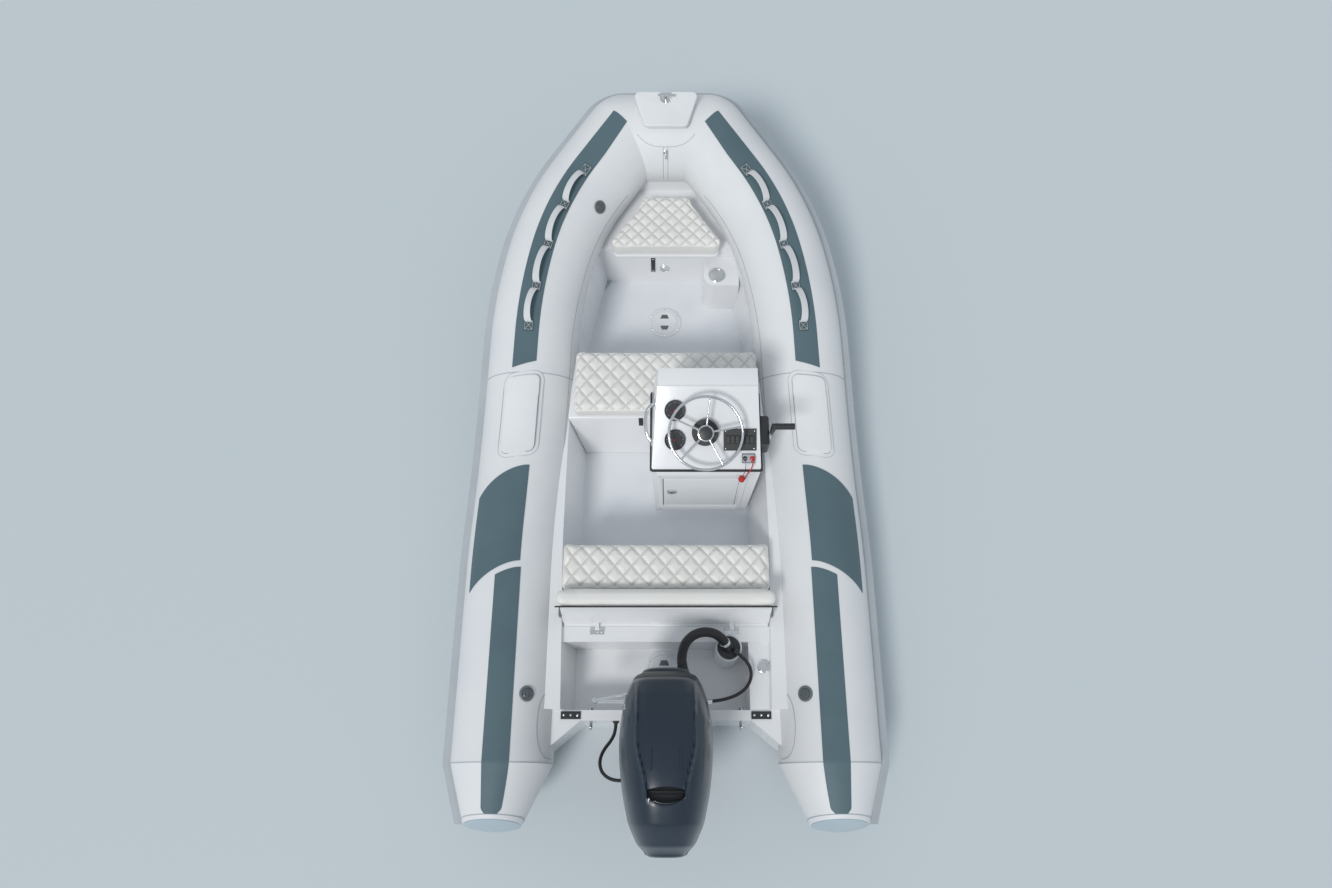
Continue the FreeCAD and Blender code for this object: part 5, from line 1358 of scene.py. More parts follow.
@dataclass
class Cushion:
    """A quilted, stuffed cushion, made from the box of the solid that it stands for."""

    name: str
    node: str
    body: Body
    swell: float = 0.009
    shrink: float = 0.003
    voxel: float = 0.007
    pressure: float = 4.0
    frames: int = 20
    diamond: Pair | None = (0.078, 0.092)
    groove: float = 0.0085
    groove_width: float = 0.0105
    stitch: float = 0.0016
    stitch_width: float = 0.0032
    corner: float = 0.016
    plan_corner: float = 0.026
    fill: float = 0.75

    def __post_init__(self) -> None:
        """Reads the corners of the solid that the cushion stands for."""
        self.low, self.high = (Vector(corner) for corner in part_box(self.node))

    def outline(self) -> Piece:
        """The plain form before it is stuffed."""
        outline = []
        s, r = self.shrink, self.plan_corner
        y0, y1 = self.low.y + s, self.high.y - s
        for side, fore in ((1, 0), (1, 1), (-1, 1), (-1, 0)):
            y = y1 if fore else y0
            half = self.half_width(y) - s
            start = {(1, 0): -90, (1, 1): 0, (-1, 1): 90, (-1, 0): 180}[side, fore]
            for step in range(7):
                angle = radians(start + 15 * step)
                outline.append((side * (half - r) + r * cos(angle),
                    y - (r if fore else -r) + r * sin(angle), self.low.z + s))
        return prism(outline, (0, 0, self.high.z - self.low.z - 2 * s), self.corner, 4)

    def build(self) -> None:
        """Stuffs, quilts and fits the cushion."""
        obj = self.outline()
        modify(obj, "REMESH", mode="VOXEL", voxel_size=self.voxel)
        self._stuff(obj)
        modify(obj, "SUBSURF", levels=1, render_levels=1)
        self._quilt(obj)
        fit(smooth(obj, 80), self.name, CUSHION_VINYL, self.body, [self.node])

    def _stuff(self, obj: Piece) -> None:
        """Swells the form by cloth pressure, with each point's move capped."""
        rest = [vertex.co.copy() for vertex in obj.data.vertices]
        only(obj)
        cloth = obj.modifiers.new("Cloth", "CLOTH")
        cloth.settings.use_pressure = True
        cloth.settings.uniform_pressure_force = self.pressure
        cloth.settings.effector_weights.gravity = 0.0
        cloth.settings.quality = 4
        cloth.point_cache.frame_end = self.frames
        for frame in range(1, self.frames + 1):
            bpy.context.scene.frame_set(frame)
        bpy.ops.object.modifier_apply(modifier=cloth.name)
        bpy.context.scene.frame_set(1)
        for vertex, before in zip(obj.data.vertices, rest):
            move = vertex.co - before
            if move.length > self.swell:
                move = move.normalized() * self.swell
            vertex.co = before + move
            vertex.co.z = max(vertex.co.z, self.low.z + 0.0008)

    def _quilt(self, obj: Piece) -> None:
        """Presses the sewn diamonds into the top and marks the stitches, which the finish darkens
        with thread colour and painted shade.
        """
        mesh = obj.data
        seam = mesh.attributes.new("seam", "FLOAT", "POINT")
        values = [0.0] * len(mesh.vertices)
        if self.diamond:
            wide, deep = self.diamond
            slant = 1.0 / math.hypot(1 / wide, 1 / deep)
            middle = (self.low.y + self.high.y) / 2
            normals = [vertex.normal.copy() for vertex in mesh.vertices]
            for number, vertex in enumerate(mesh.vertices):
                flat = min(1.0, max(0.0, (normals[number].z - 0.25) / 0.45))
                if not flat:
                    continue
                x, y = vertex.co.x, vertex.co.y
                first = (x / wide + (y - middle) / deep) % 1.0
                second = (x / wide - (y - middle) / deep) % 1.0
                near = min(first, 1 - first, second, 1 - second) * slant
                depth = self.groove * math.exp(-(near / self.groove_width) ** 2)
                depth += self.stitch * math.exp(-(near / self.stitch_width) ** 2)
                vertex.co -= normals[number] * (depth * flat)
                # This mark follows the stitch line; the finish paints thread colour plus groove
                # shade along it.
                values[number] = 0.7 * flat * math.exp(-(near / self.stitch_width) ** 2)
        seam.data.foreach_set("value", values)

    def half_width(self, y: float) -> float:
        """Half the cushion's width at a distance along the boat."""
        return self.high.x


@dataclass
class BowCushion(Cushion):
    """The bow cushion, whose sides narrow forward."""

    fore_half: float = 0.142

    def half_width(self, y: float) -> float:
        """Half the cushion's width, which narrows towards the bow."""
        low, high = self.low, self.high
        share = (y - low[1]) / (high[1] - low[1])
        return high[0] + (self.fore_half - high[0]) * min(1.0, max(0.0, share))


RIGGING_ROUTE = (
    (0.2708, -1.0478, 0.396), (0.247, -1.024, 0.436), (0.206, -1.009, 0.47),
    (0.153, -1.011, 0.494), (0.102, -1.038, 0.504), (0.072, -1.086, 0.507),
    (0.068, -1.144, 0.51), (0.079, -1.203, 0.514), (0.086, -1.262, 0.518),
)
CABLE_ROUTE = (
    (0.326, -1.091, 0.393), (0.361, -1.12, 0.394), (0.381, -1.16, 0.395),
    (0.379, -1.206, 0.395), (0.353, -1.247, 0.394), (0.309, -1.275, 0.393),
    (0.255, -1.292, 0.3925), (0.195, -1.299, 0.392), (0.142, -1.3, 0.392),
)
FUEL_ROUTE = (
    (-0.225, -1.375, 0.29), (-0.225, -1.415, 0.29), (-0.243, -1.457, 0.296),
    (-0.275, -1.496, 0.31), (-0.292, -1.541, 0.328), (-0.284, -1.585, 0.351),
    (-0.252, -1.616, 0.378), (-0.206, -1.628, 0.405), (-0.167, -1.623, 0.437),
    (-0.15, -1.612, 0.4735),
)
RIGGING_SPLIT, FUEL_SPLIT = 5, 4


def split_route(route: Sequence[Point], after: int,
                share: float = 0.5) -> tuple[list[Point], list[Point]]:
    """Parts a route at a share of one run, where both splines run the same way."""
    middle = tuple(a + (b - a) * share for a, b in zip(route[after], route[after + 1]))
    return [*route[:after + 1], middle], [middle, *route[after + 1:]]


def route_line(points: Sequence[Point]) -> list[Vector]:
    """Points along the smooth spline of a route."""
    bare = curve_along("route", points, 0.0, 24)
    line = line_of(bare)
    bpy.data.objects.remove(bare)
    if (line[0] - Vector(points[0])).length > (line[-1] - Vector(points[0])).length:
        line.reverse()
    return line


@dataclass
class Hoses:
    """The rigging hose, the steering cable and the fuel hose, with their ends."""

    rigging_length: float = 0.322
    rigging_diameter: float = 0.043
    rib_pitch: float = 0.0062
    rib_depth: float = 0.0016
    boot_fold: float = 0.011
    cable_length: float = 0.403
    cable_diameter: float = 0.015
    fuel_length_hull: float = 0.212
    fuel_length_engine: float = 0.222
    fuel_diameter: float = 0.015

    def build(self) -> None:
        """Adds the three hoses."""
        self._rigging()
        self._cable()
        self._fuel()

    def _rigging(self) -> None:
        """The ribbed hose into the engine pan, with its bellows boot."""
        free, held = split_route(RIGGING_ROUTE, RIGGING_SPLIT, 0.8)
        radius = self.rigging_diameter / 2
        line = route_line(free)
        LOG.info("rigging hose is %.4f m long", length_of(line))

        def ribbed(along: float) -> float:
            """Radius of the ribbed hose."""
            return radius - self.rib_depth * (0.5
                + 0.5 * cos(2 * pi * along / self.rib_pitch)) ** 2

        hose = swept(line, ribbed, sides=30, step=self.rib_pitch / 6)
        fit(hose, "rigging_hose_ribbed", HOSE_RUBBER, None, ["rigging_hose"])
        tuple(line[0])
        tuple(line[-1])
        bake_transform(hose)
        tail = route_line(held)
        whole = length_of(tail)

        def folded(along: float) -> float:
            """Radius of the bellows boot."""
            share = along / whole
            wave = 0.5 - 0.5 * cos(2 * pi * along / self.boot_fold)
            return radius * 0.96 + 0.0035 * wave * min(1.0, share * 3)

        boot = swept(tail, folded, sides=32, step=0.0012)
        fit(boot, "rigging_boot", GASKET, None)
        tuple(tail[0])
        tuple(tail[-1])
        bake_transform(boot)
        [tuple(point) for point in line]

    def _cable(self) -> None:
        """The steering cable, from the well's side to the tilt tube."""
        cable = curve_along("steering_cable_sheath", CABLE_ROUTE, self.cable_diameter / 2, 8)
        LOG.info("steering cable is %.4f m long", length_of(line_of(cable)))
        end = Vector(CABLE_ROUTE[-1])
        ferrule = joined([lathe(mm((9.5, -62), (10.5, -58), (10.5, -20), (8.5, -16), (8.5, 0)),
            end, -X_AXIS, sides=24), lathe(mm((13.5, -20), (13.5, -4)), end, -X_AXIS, sides=6)])
        fit(ferrule, "steering_cable_ferrule", STEEL)
        fit(cable, "steering_cable_sheath", HOSE_RUBBER, replaces=["steering_cable"])

    def _fuel(self) -> None:
        """The fuel hose from the hull to the engine, in two runs."""
        free, held = split_route(FUEL_ROUTE, FUEL_SPLIT)
        radius = self.fuel_diameter / 2
        runs = ((free, "fuel_hose_aft", Body.HULL, Body.SWIVEL, self.fuel_length_hull),
            (held, "fuel_hose_engine", Body.SWIVEL, Body.ENGINE, self.fuel_length_engine))
        for points, name, first, second, length in runs:
            line = route_line(points)
            LOG.info("%s is %.4f m long", name, length_of(line))
            hose = swept(line, radius, sides=20)
            fit(hose, name, HOSE_RUBBER, None, ["fuel_hose"] if first is Body.HULL else [])
            tuple(line[0])
            tuple(line[-1])
            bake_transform(hose)
            tuple(points[0])
            [tuple(point) for point in line]
        fit(lathe(mm((14.5, -1), (14.5, 4), (12, 6), (8.5, 12), (7.8, 12)), FUEL_ROUTE[0], -Y_AXIS,
            28), "fuel_hose_grommet", GASKET)


@dataclass
class Dash:
    """The sloping dash of the console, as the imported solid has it."""

    foot_y: float = -0.3
    foot_z: float = 0.702
    slope: float = 26.0

    def normal(self) -> Vector:
        """The direction straight off the dash."""
        angle = radians(self.slope)
        return Vector((0.0, -sin(angle), cos(angle)))

    def up(self) -> Vector:
        """The direction up the slope."""
        angle = radians(self.slope)
        return Vector((0.0, cos(angle), sin(angle)))

    def at(self, x: float, y: float, lift: float = 0.0) -> Vector:
        """A point on the dash, or lifted off it."""
        z = self.foot_z + (y - self.foot_y) * math.tan(radians(self.slope))
        return Vector((x, y, z)) + self.normal() * lift

    def slab(self, x: float, y: float, size: Point, low: float, high: float,
             bevel: float, tip: float = 0.0) -> Piece:
        """A flat block that lies parallel to the dash.

        Args:
            x: Place of its middle across the boat.
            y: Place of its middle along the boat.
            size: Its width and its length up the slope.
            low: Height of its underside off the dash.
            high: Height of its top off the dash.
            bevel: Width of the rounding of its edges.
            tip: How much its upper edge stands higher than its lower one.

        Returns:
            The block.
        """
        half_x, half_y = size[0] / 2, size[1] / 2
        centre = self.at(x, y, low)
        corners = [centre + X_AXIS * (a * half_x) + self.up() * (b * half_y)
            for a, b in ((-1, -1), (1, -1), (1, 1), (-1, 1))]
        obj = prism(corners, self.normal() * (high - low))
        if tip:
            for vertex in obj.data.vertices:
                share = (vertex.co - centre).dot(self.up()) / (2 * half_y)
                if (vertex.co - centre).dot(self.normal()) > (high - low) / 2:
                    vertex.co += self.normal() * (tip * share)
        return bevelled(obj, bevel, 2)


@dataclass
class Helm:
    """What is fitted on the console: instruments, switches, wheel and throttle."""

    dash: Dash
    gauge_x: float = 0.04
    gauge_y: Pair = (-0.078, -0.197)
    gauge_radius: float = 0.0465
    gauge_top: float = 0.0123
    panel_top: float = 0.0073
    switch_place: Point = (0.333, -0.196)
    switch_size: Point = (0.148, 0.098)
    rocker_size: Point = (0.017, 0.036)
    rocker_pitch: float = 0.0215
    ignition_place: Point = (0.372, -0.272)
    ignition_size: Point = (0.058, 0.042)
    key_x: float = 0.356
    stop_x: float = 0.389
    float_top: Point = (0.344, -0.347, 0.668)
    wheel_place: Point = (0.176, -0.166)
    wheel_stand_off: float = 0.076
    wheel_rim: Point = (0.163, 0.0064)
    spoke_radius: float = 0.0044
    spoke_turn: float = 7.0
    throttle_side: float = 0.47
    lever_foot: Point = (-0.145, 0.7)
    lever_length: float = 0.103
    lever_lean: float = -0.008

    def build(self) -> None:
        """Adds everything on the dash and beside it."""
        self._gauges()
        self._switches()
        self._ignition()
        self._wheel()
        self._throttle()

    def _gauges(self) -> None:
        """Bezels, and dials with their marks and needles."""
        bezels, dials, marks, needles = [], [], [], []
        normal = self.dash.normal()
        for number, y in enumerate(self.gauge_y):
            foot = self.dash.at(self.gauge_x, y, 0.0)
            r, top = self.gauge_radius, self.gauge_top
            bezels.append(lathe(mm((0.5, -4), (0, 1), (-3, 2.8), (-6.5, 1.8), (-7.2, 0.4),
                start=(r, top)), foot, normal, 64))
            dials.append(lathe([(r - 0.0068, top - 0.001), (r - 0.0068, top + 0.0006),
                (0.0005, top + 0.0007)], foot, normal, 64))
            for tick in range(25):
                angle = radians(-130 + 260 * tick / 24)
                long = tick % 4 == 0
                out = X_AXIS * sin(angle) + self.dash.up() * cos(angle)
                start = foot + normal * (top + 0.0008) + out * (0.0345 if long else 0.0365)
                finish = foot + normal * (top + 0.0008) + out * 0.0385
                marks.append(rod(start, finish, 0.0007 if long else 0.0004, sides=6))
            turn = radians(-118 + 30 * number)
            out = X_AXIS * sin(turn) + self.dash.up() * cos(turn)
            pin = foot + normal * (top + 0.0018)
            needles.append(rod(pin - out * 0.006, pin + out * 0.031, 0.0009, 0.0004, sides=8))
            needles.append(lathe(mm((4, -1), (4, 1.2), (2, 1.8)), pin, normal, 20))
        fit(bezels, "gauge_bezels", BLACK_PLASTIC)
        fit(dials, "gauge_dials", DIAL_FACE)
        fit(marks, "gauge_marks", PRINT_WHITE)
        fit(needles, "gauge_needles", RED_PLASTIC)

    def _switches(self) -> None:
        """A panel of six rocker switches, with a lamp over each one."""
        x, y = self.switch_place
        wide, tall = self.switch_size
        top = self.panel_top
        plate = self.dash.slab(x, y, (wide - 0.006, tall - 0.006), top - 0.001, top + 0.0016,
            0.0015)
        rockers, lamps, wells = [], [], []
        up_y = self.dash.up().y
        for number in range(6):
            place_x = x + (number - 2.5) * self.rocker_pitch
            wells.append(self.dash.slab(place_x, y,
                (self.rocker_size[0] + 0.003, self.rocker_size[1] + 0.003), top + 0.001,
                top + 0.0026, 0.001))
            rockers.append(self.dash.slab(place_x, y, self.rocker_size, top + 0.001, top + 0.0078,
                0.0022, tip=0.005))
            lamps.append(lathe(mm((2.6, 0), (2.6, 1.2), (1.4, 2)),
                self.dash.at(place_x, y + 0.002, top + 0.0056), self.dash.normal(), 16))
        screws = [lathe(mm((3.4, 0), (3.4, 1), (1.8, 1.8)),
            self.dash.at(x + a * (wide / 2 - 0.009), y + b * (tall / 2 - 0.009) * up_y,
            top + 0.0014), self.dash.normal(), 14) for a in (-1, 1) for b in (-1, 1)]
        fit(plate, "switch_panel_face", BLACK_PLASTIC)
        fit(wells, "switch_surrounds", GASKET)
        fit(rockers, "rocker_switches", BLACK_PLASTIC)
        fit(lamps, "switch_lamps", LAMP)
        fit(screws, "switch_panel_screws", STEEL)

    def _ignition(self) -> None:
        """A steel plate with the key, its float, and the stop switch with its lanyard."""
        x, y = self.ignition_place
        top = self.panel_top
        normal = self.dash.normal()
        fit(self.dash.slab(x, y, (self.ignition_size[0] - 0.004, self.ignition_size[1] - 0.004),
            top - 0.001, top + 0.0014, 0.0012), "ignition_plate", STEEL)
        lock = self.dash.at(self.key_x, y, top)
        fit(lathe(mm((10.5, 0), (10.5, 5), (8.5, 7), (1.2, 7.2)), lock, normal, 32),
            "ignition_lock", BLACK_PLASTIC)
        blade = block((-0.0012, -0.004, 0.0), (0.0012, 0.004, 0.022), bevel=0.0005)
        bow = lathe(mm((10.5, -1.7), (11.5, 0), (10.5, 1.7)), (0, 0, 0.028), X_AXIS, 28)
        fit(stood(joined([blade, bow]), lock, normal), "ignition_key", BLACK_PLASTIC)
        stop = self.dash.at(self.stop_x, y, top)
        fit(lathe(mm((11.5, 0), (11.5, 4), (8, 6), (8, 12), (10, 14), (10, 19), (3, 21)), stop,
            normal, 32), "stop_switch", RED_PLASTIC)
        head = lock + normal * 0.036
        fit(torus(head, Y_AXIS, 0.0065, 0.0009, 28, 8), "key_ring", STEEL)
        top_end = Vector(self.float_top)
        fit(lathe(mm((4, 0), (12, 4), (15.5, 14), (14, 26), (5, 34), (3, 38)),
            top_end - Z_AXIS * 0.038, Z_AXIS, 32), "key_float", RED_PLASTIC)
        loop = [head, head + Vector((0.0, -0.022, 0.006)), head + Vector((-0.004, -0.058, -0.01)),
            top_end + Z_AXIS * 0.022, top_end]
        fit(swept(route_line(loop), 0.0012, sides=8), "key_cord", BLACK_WEBBING)
        ways = ((0.004, -0.018, 0.026), (-0.008, -0.06, 0.014), (-0.03, -0.072, -0.03),
            (-0.026, -0.07, -0.075), (-0.034, -0.068, -0.11))
        strap = [stop + normal * 0.017, *[stop + Vector(way) for way in ways]]
        fit(swept(route_line(strap), 0.0028, sides=10), "stop_lanyard", RED_PLASTIC)

    def _wheel(self) -> None:
        """The bright wheel with its five spokes, and the bare cap and ring on its hub."""
        normal = self.dash.normal()
        x, y = self.wheel_place
        foot = self.dash.at(x, y, self.wheel_stand_off)
        radius, thick = self.wheel_rim
        parts = [torus(foot, normal, radius, thick, 96, 16),
            lathe(mm((12, -22), (30, -20), (37, -12), (37, 2), (30, 4), (0.5, 4.2)), foot, normal,
            48), rod(self.dash.at(x, y, 0.02), foot - normal * 0.015, 0.0105)]
        for number in range(5):
            turn = radians(72 * number + self.spoke_turn)
            arm = X_AXIS * sin(turn) + self.dash.up() * cos(turn)
            parts.append(rod(foot - normal * 0.008 + arm * 0.03, foot + arm * radius,
                self.spoke_radius, sides=16))
        fit(parts, "steering_wheel_bright", STEEL, Body.WHEEL, ["steering_wheel"])
        fit(lathe(mm((30, 0), (30, 9.2), (28.5, 11), (20, 12.8), (10, 13.6), (0.5, 13.8)), foot,
            normal, 48), "wheel_cap", BLACK_PLASTIC, Body.WHEEL)
        fit(lathe(mm((36.5, 2), (36.5, 8.6), (35, 10.4), (31.8, 11), (30, 9.8), (29.8, 4)), foot,
            normal, 56), "wheel_ring", STEEL, Body.WHEEL)
        collar = self.dash.at(x, y, 0.03)
        fit(lathe(mm((34, 0), (34, 4), (26, 10), (18, 12), (10.5, 12.5), (10.5, 1)), collar,
            normal, 40), "helm_collar", BLACK_PLASTIC)

    def _throttle(self) -> None:
        """The boss, cover and red stripe of the lever, and the rings of its grip."""
        side = self.throttle_side
        y, z = self.lever_foot
        foot = Vector((side, y, z))
        head = foot + Vector((0.01, self.lever_lean, self.lever_length))
        fit(lathe(mm((23.5, 1), (23.5, 8.5), (20.5, 12.5), (11, 13.5), (0.5, 14)), foot, X_AXIS,
            44), "throttle_boss", STEEL)
        arm = (head - foot).normalized()
        across = Vector((0.0, arm.z, -arm.y))
        face = foot + X_AXIS * 0.0152 + arm * 0.018
        tip = face + arm * 0.068
        corners = [face - across * 0.0085, face + across * 0.0085, tip + across * 0.0072,
            tip - across * 0.0072]
        fit(prism(corners, X_AXIS * 0.0016, bevel=0.0008), "throttle_lever_cover", STEEL)
        low = face + X_AXIS * 0.0012 + arm * 0.008
        high = low + arm * 0.052
        strip = [low - across * 0.003, low + across * 0.003, high + across * 0.0026,
            high - across * 0.0026]
        fit(prism(strip, X_AXIS * 0.0012, bevel=0.0005), "throttle_lever_stripe", RED_PLASTIC)
        grips = [torus(head + X_AXIS * (0.014 + 0.0095 * k), X_AXIS, 0.0139, 0.0016, 36, 8)
            for k in range(9)]
        end = lathe(mm((15, -4), (15, 0), (12, 2.5), (4, 3.5)), head + X_AXIS * 0.0935, X_AXIS, 36)
        fit([*grips, end], "throttle_grip_rings", BLACK_PLASTIC)


@dataclass
class Console:
    """The console's trim: gasket, door fittings and grab rail."""

    gasket_z: float = 0.692
    gasket_thick: float = 0.012
    outline_x: Pair = (-0.066, 0.43)
    aft_y: float = -0.321
    front_y: float = 0.0635
    door_x: Pair = (-0.012, 0.339)
    door_z: Pair = (0.217, 0.602)
    frame_x: Pair = (-0.044, 0.372)
    frame_z: Pair = (0.133, 0.657)
    face_y: float = -0.331
    latch: Point = (0.028, 0.43)
    rail: tuple[Point, ...] = ((-0.036, -0.018, 0.775), (-0.085, -0.035, 0.768),
        (-0.097, -0.105, 0.738), (-0.085, -0.175, 0.706), (-0.045, -0.2, 0.69))
    rail_feet: tuple[Point, ...] = ((-0.053, -0.022, 0.773), (-0.064, -0.192, 0.695))

    def build(self) -> None:
        """Adds the gasket, the door's fittings and the grab rail with its feet."""
        x0, x1 = self.outline_x
        grow = 0.0015
        corners = [(x0 - grow, self.aft_y - grow), (x1 + grow, self.aft_y - grow),
            (x1 + grow, self.front_y + grow), (x0 - grow, self.front_y + grow)]
        line = [Vector((x, y, self.gasket_z)) for x, y in corners]
        start = line[0] + Vector((0.1, 0, 0))
        fit(swept([start, *line[1:], line[0], start], self.gasket_thick / 2, 10, 0.01),
            "console_gasket", GASKET)
        self._door()
        fit(swept(route_line(self.rail), 0.008, 18), "grab_rail_bright", STEEL,
            replaces=["grab_rail"])
        flanges = [lathe(mm((20, -6), (20, 3), (16, 5), (8.5, 6)), place, -X_AXIS, 36)
            for place in self.rail_feet]
        fit(flanges, "grab_rail_feet", STEEL)

    def _door(self) -> None:
        """The screws of the door's frame, the latch, and painted shadow strips in the door's gaps.
        """
        x0, x1 = self.door_x
        z0, z1 = self.door_z
        y = self.face_y
        fx0, fx1 = self.frame_x
        fz0, fz1 = self.frame_z
        places = [(x, z) for x in (fx0 + 0.016, fx1 - 0.014) for z in (fz0 + 0.022, fz1 - 0.02)]
        fit(studs([(x, y, z) for x, z in places], -Y_AXIS, 0.0048, 0.0026), "frame_screws", STEEL)
        lx, lz = self.latch
        latch = Vector((lx, y - 0.0003, lz))
        ring = lathe(mm((24, 0), (24, 5), (21.5, 8.5), (18, 8.5), (16.5, 6), (0.5, 6)), latch,
            -Y_AXIS, 44)
        fit(lathe(mm((15, 5.5), (15, 7.2), (0.5, 7.4)), latch, -Y_AXIS, 36), "console_latch_core",
            DIAL_FACE, Body.DOOR)
        fit(ring, "console_latch_ring", STEEL, Body.DOOR, ["console_door_latch"])
        fit(torus(latch - Y_AXIS * 0.0078, Vector((0.15, -1.0, 0.25)), 0.0105, 0.0017, 32, 10),
            "console_latch_pull", STEEL, Body.DOOR)
        # Dark strips in the gaps beside the door: painted shadow, in the gasket's black.
        gap = [block((x1 - 0.0005, y - 0.0004, z0), (x1 + 0.0015, y + 0.006, z1)),
            block((x0 - 0.0022, y - 0.0002, z0), (x0 - 0.0006, y + 0.006, z1))]
        fit(gap, "door_shadow_line", GASKET)


@dataclass
class BowFittings:
    """The locker's latch, the straps, and the cup holder's rim and liner."""

    face_y: float = 1.045
    latch: Point = (-0.009, 0.232)
    strap_x: float = -0.071
    strap_half: float = 0.011
    strap_z: Pair = (0.205, 0.345)
    cup: Point = (0.275, 0.925, 0.35)
    cup_radius: float = 0.038
    bench_strap: tuple[float, Point, Point] = (-0.125, (0.0575, 0.413), (0.045, 0.352))

    def build(self) -> None:
        """Adds the bow's small fittings."""
        lx, lz = self.latch
        foot = Vector((lx, self.face_y, lz))
        fit(lathe(mm((27.5, -2), (27.5, 6.5), (25.5, 9), (22.5, 9), (20.5, 6), (0.5, 6)), foot,
            -Y_AXIS, 52), "locker_latch_ring", STEEL, replaces=["bow_locker_latch"])
        fit(torus(foot - Y_AXIS * 0.0078, Vector((0.1, -1.0, 0.2)), 0.0165, 0.002, 36, 10),
            "locker_latch_pull", STEEL)
        z0, z1 = self.strap_z
        half = self.strap_half
        spans = ((-0.0035, z0, z1), (0.0015, z1 - 0.012, z1), (0.0015, z0, z0 + 0.012))
        strap = [block((self.strap_x - half, self.face_y - 0.0065, low),
            (self.strap_x + half, self.face_y + back, high), bevel=0.001)
            for back, low, high in spans]
        fit(strap, "bow_strap", BLACK_WEBBING)
        fit(studs([(self.strap_x, self.face_y - 0.0062, z0 + 0.012),
            (self.strap_x, self.face_y - 0.0062, z1 - 0.014)], -Y_AXIS, 0.006, 0.003),
            "bow_strap_studs", STEEL)
        cx, cy, cz = self.cup
        r = self.cup_radius
        fit(lathe(mm((7.8, -0.5), (7.8, 3), (5, 5), (1, 4.6), (-1.5, 2.2), (-2, -10),
            start=(r, 0)), (cx, cy, cz), Z_AXIS, 64), "cup_holder_rim", STEEL)
        fit(lathe([(r - 0.002, -0.01), (r - 0.003, -0.003), (0.0005, -0.0034)], (cx, cy, cz),
            Z_AXIS, 48), "cup_holder_liner", DIAL_FACE)
        x, (y0, upper), (y1, lower) = self.bench_strap
        corners = [(x - half, y0, upper), (x + half, y0, upper), (x + half, y1, lower),
            (x - half, y1, lower)]
        fit(prism(corners, (0, -0.0035, 0), bevel=0.001), "bench_strap", BLACK_WEBBING)


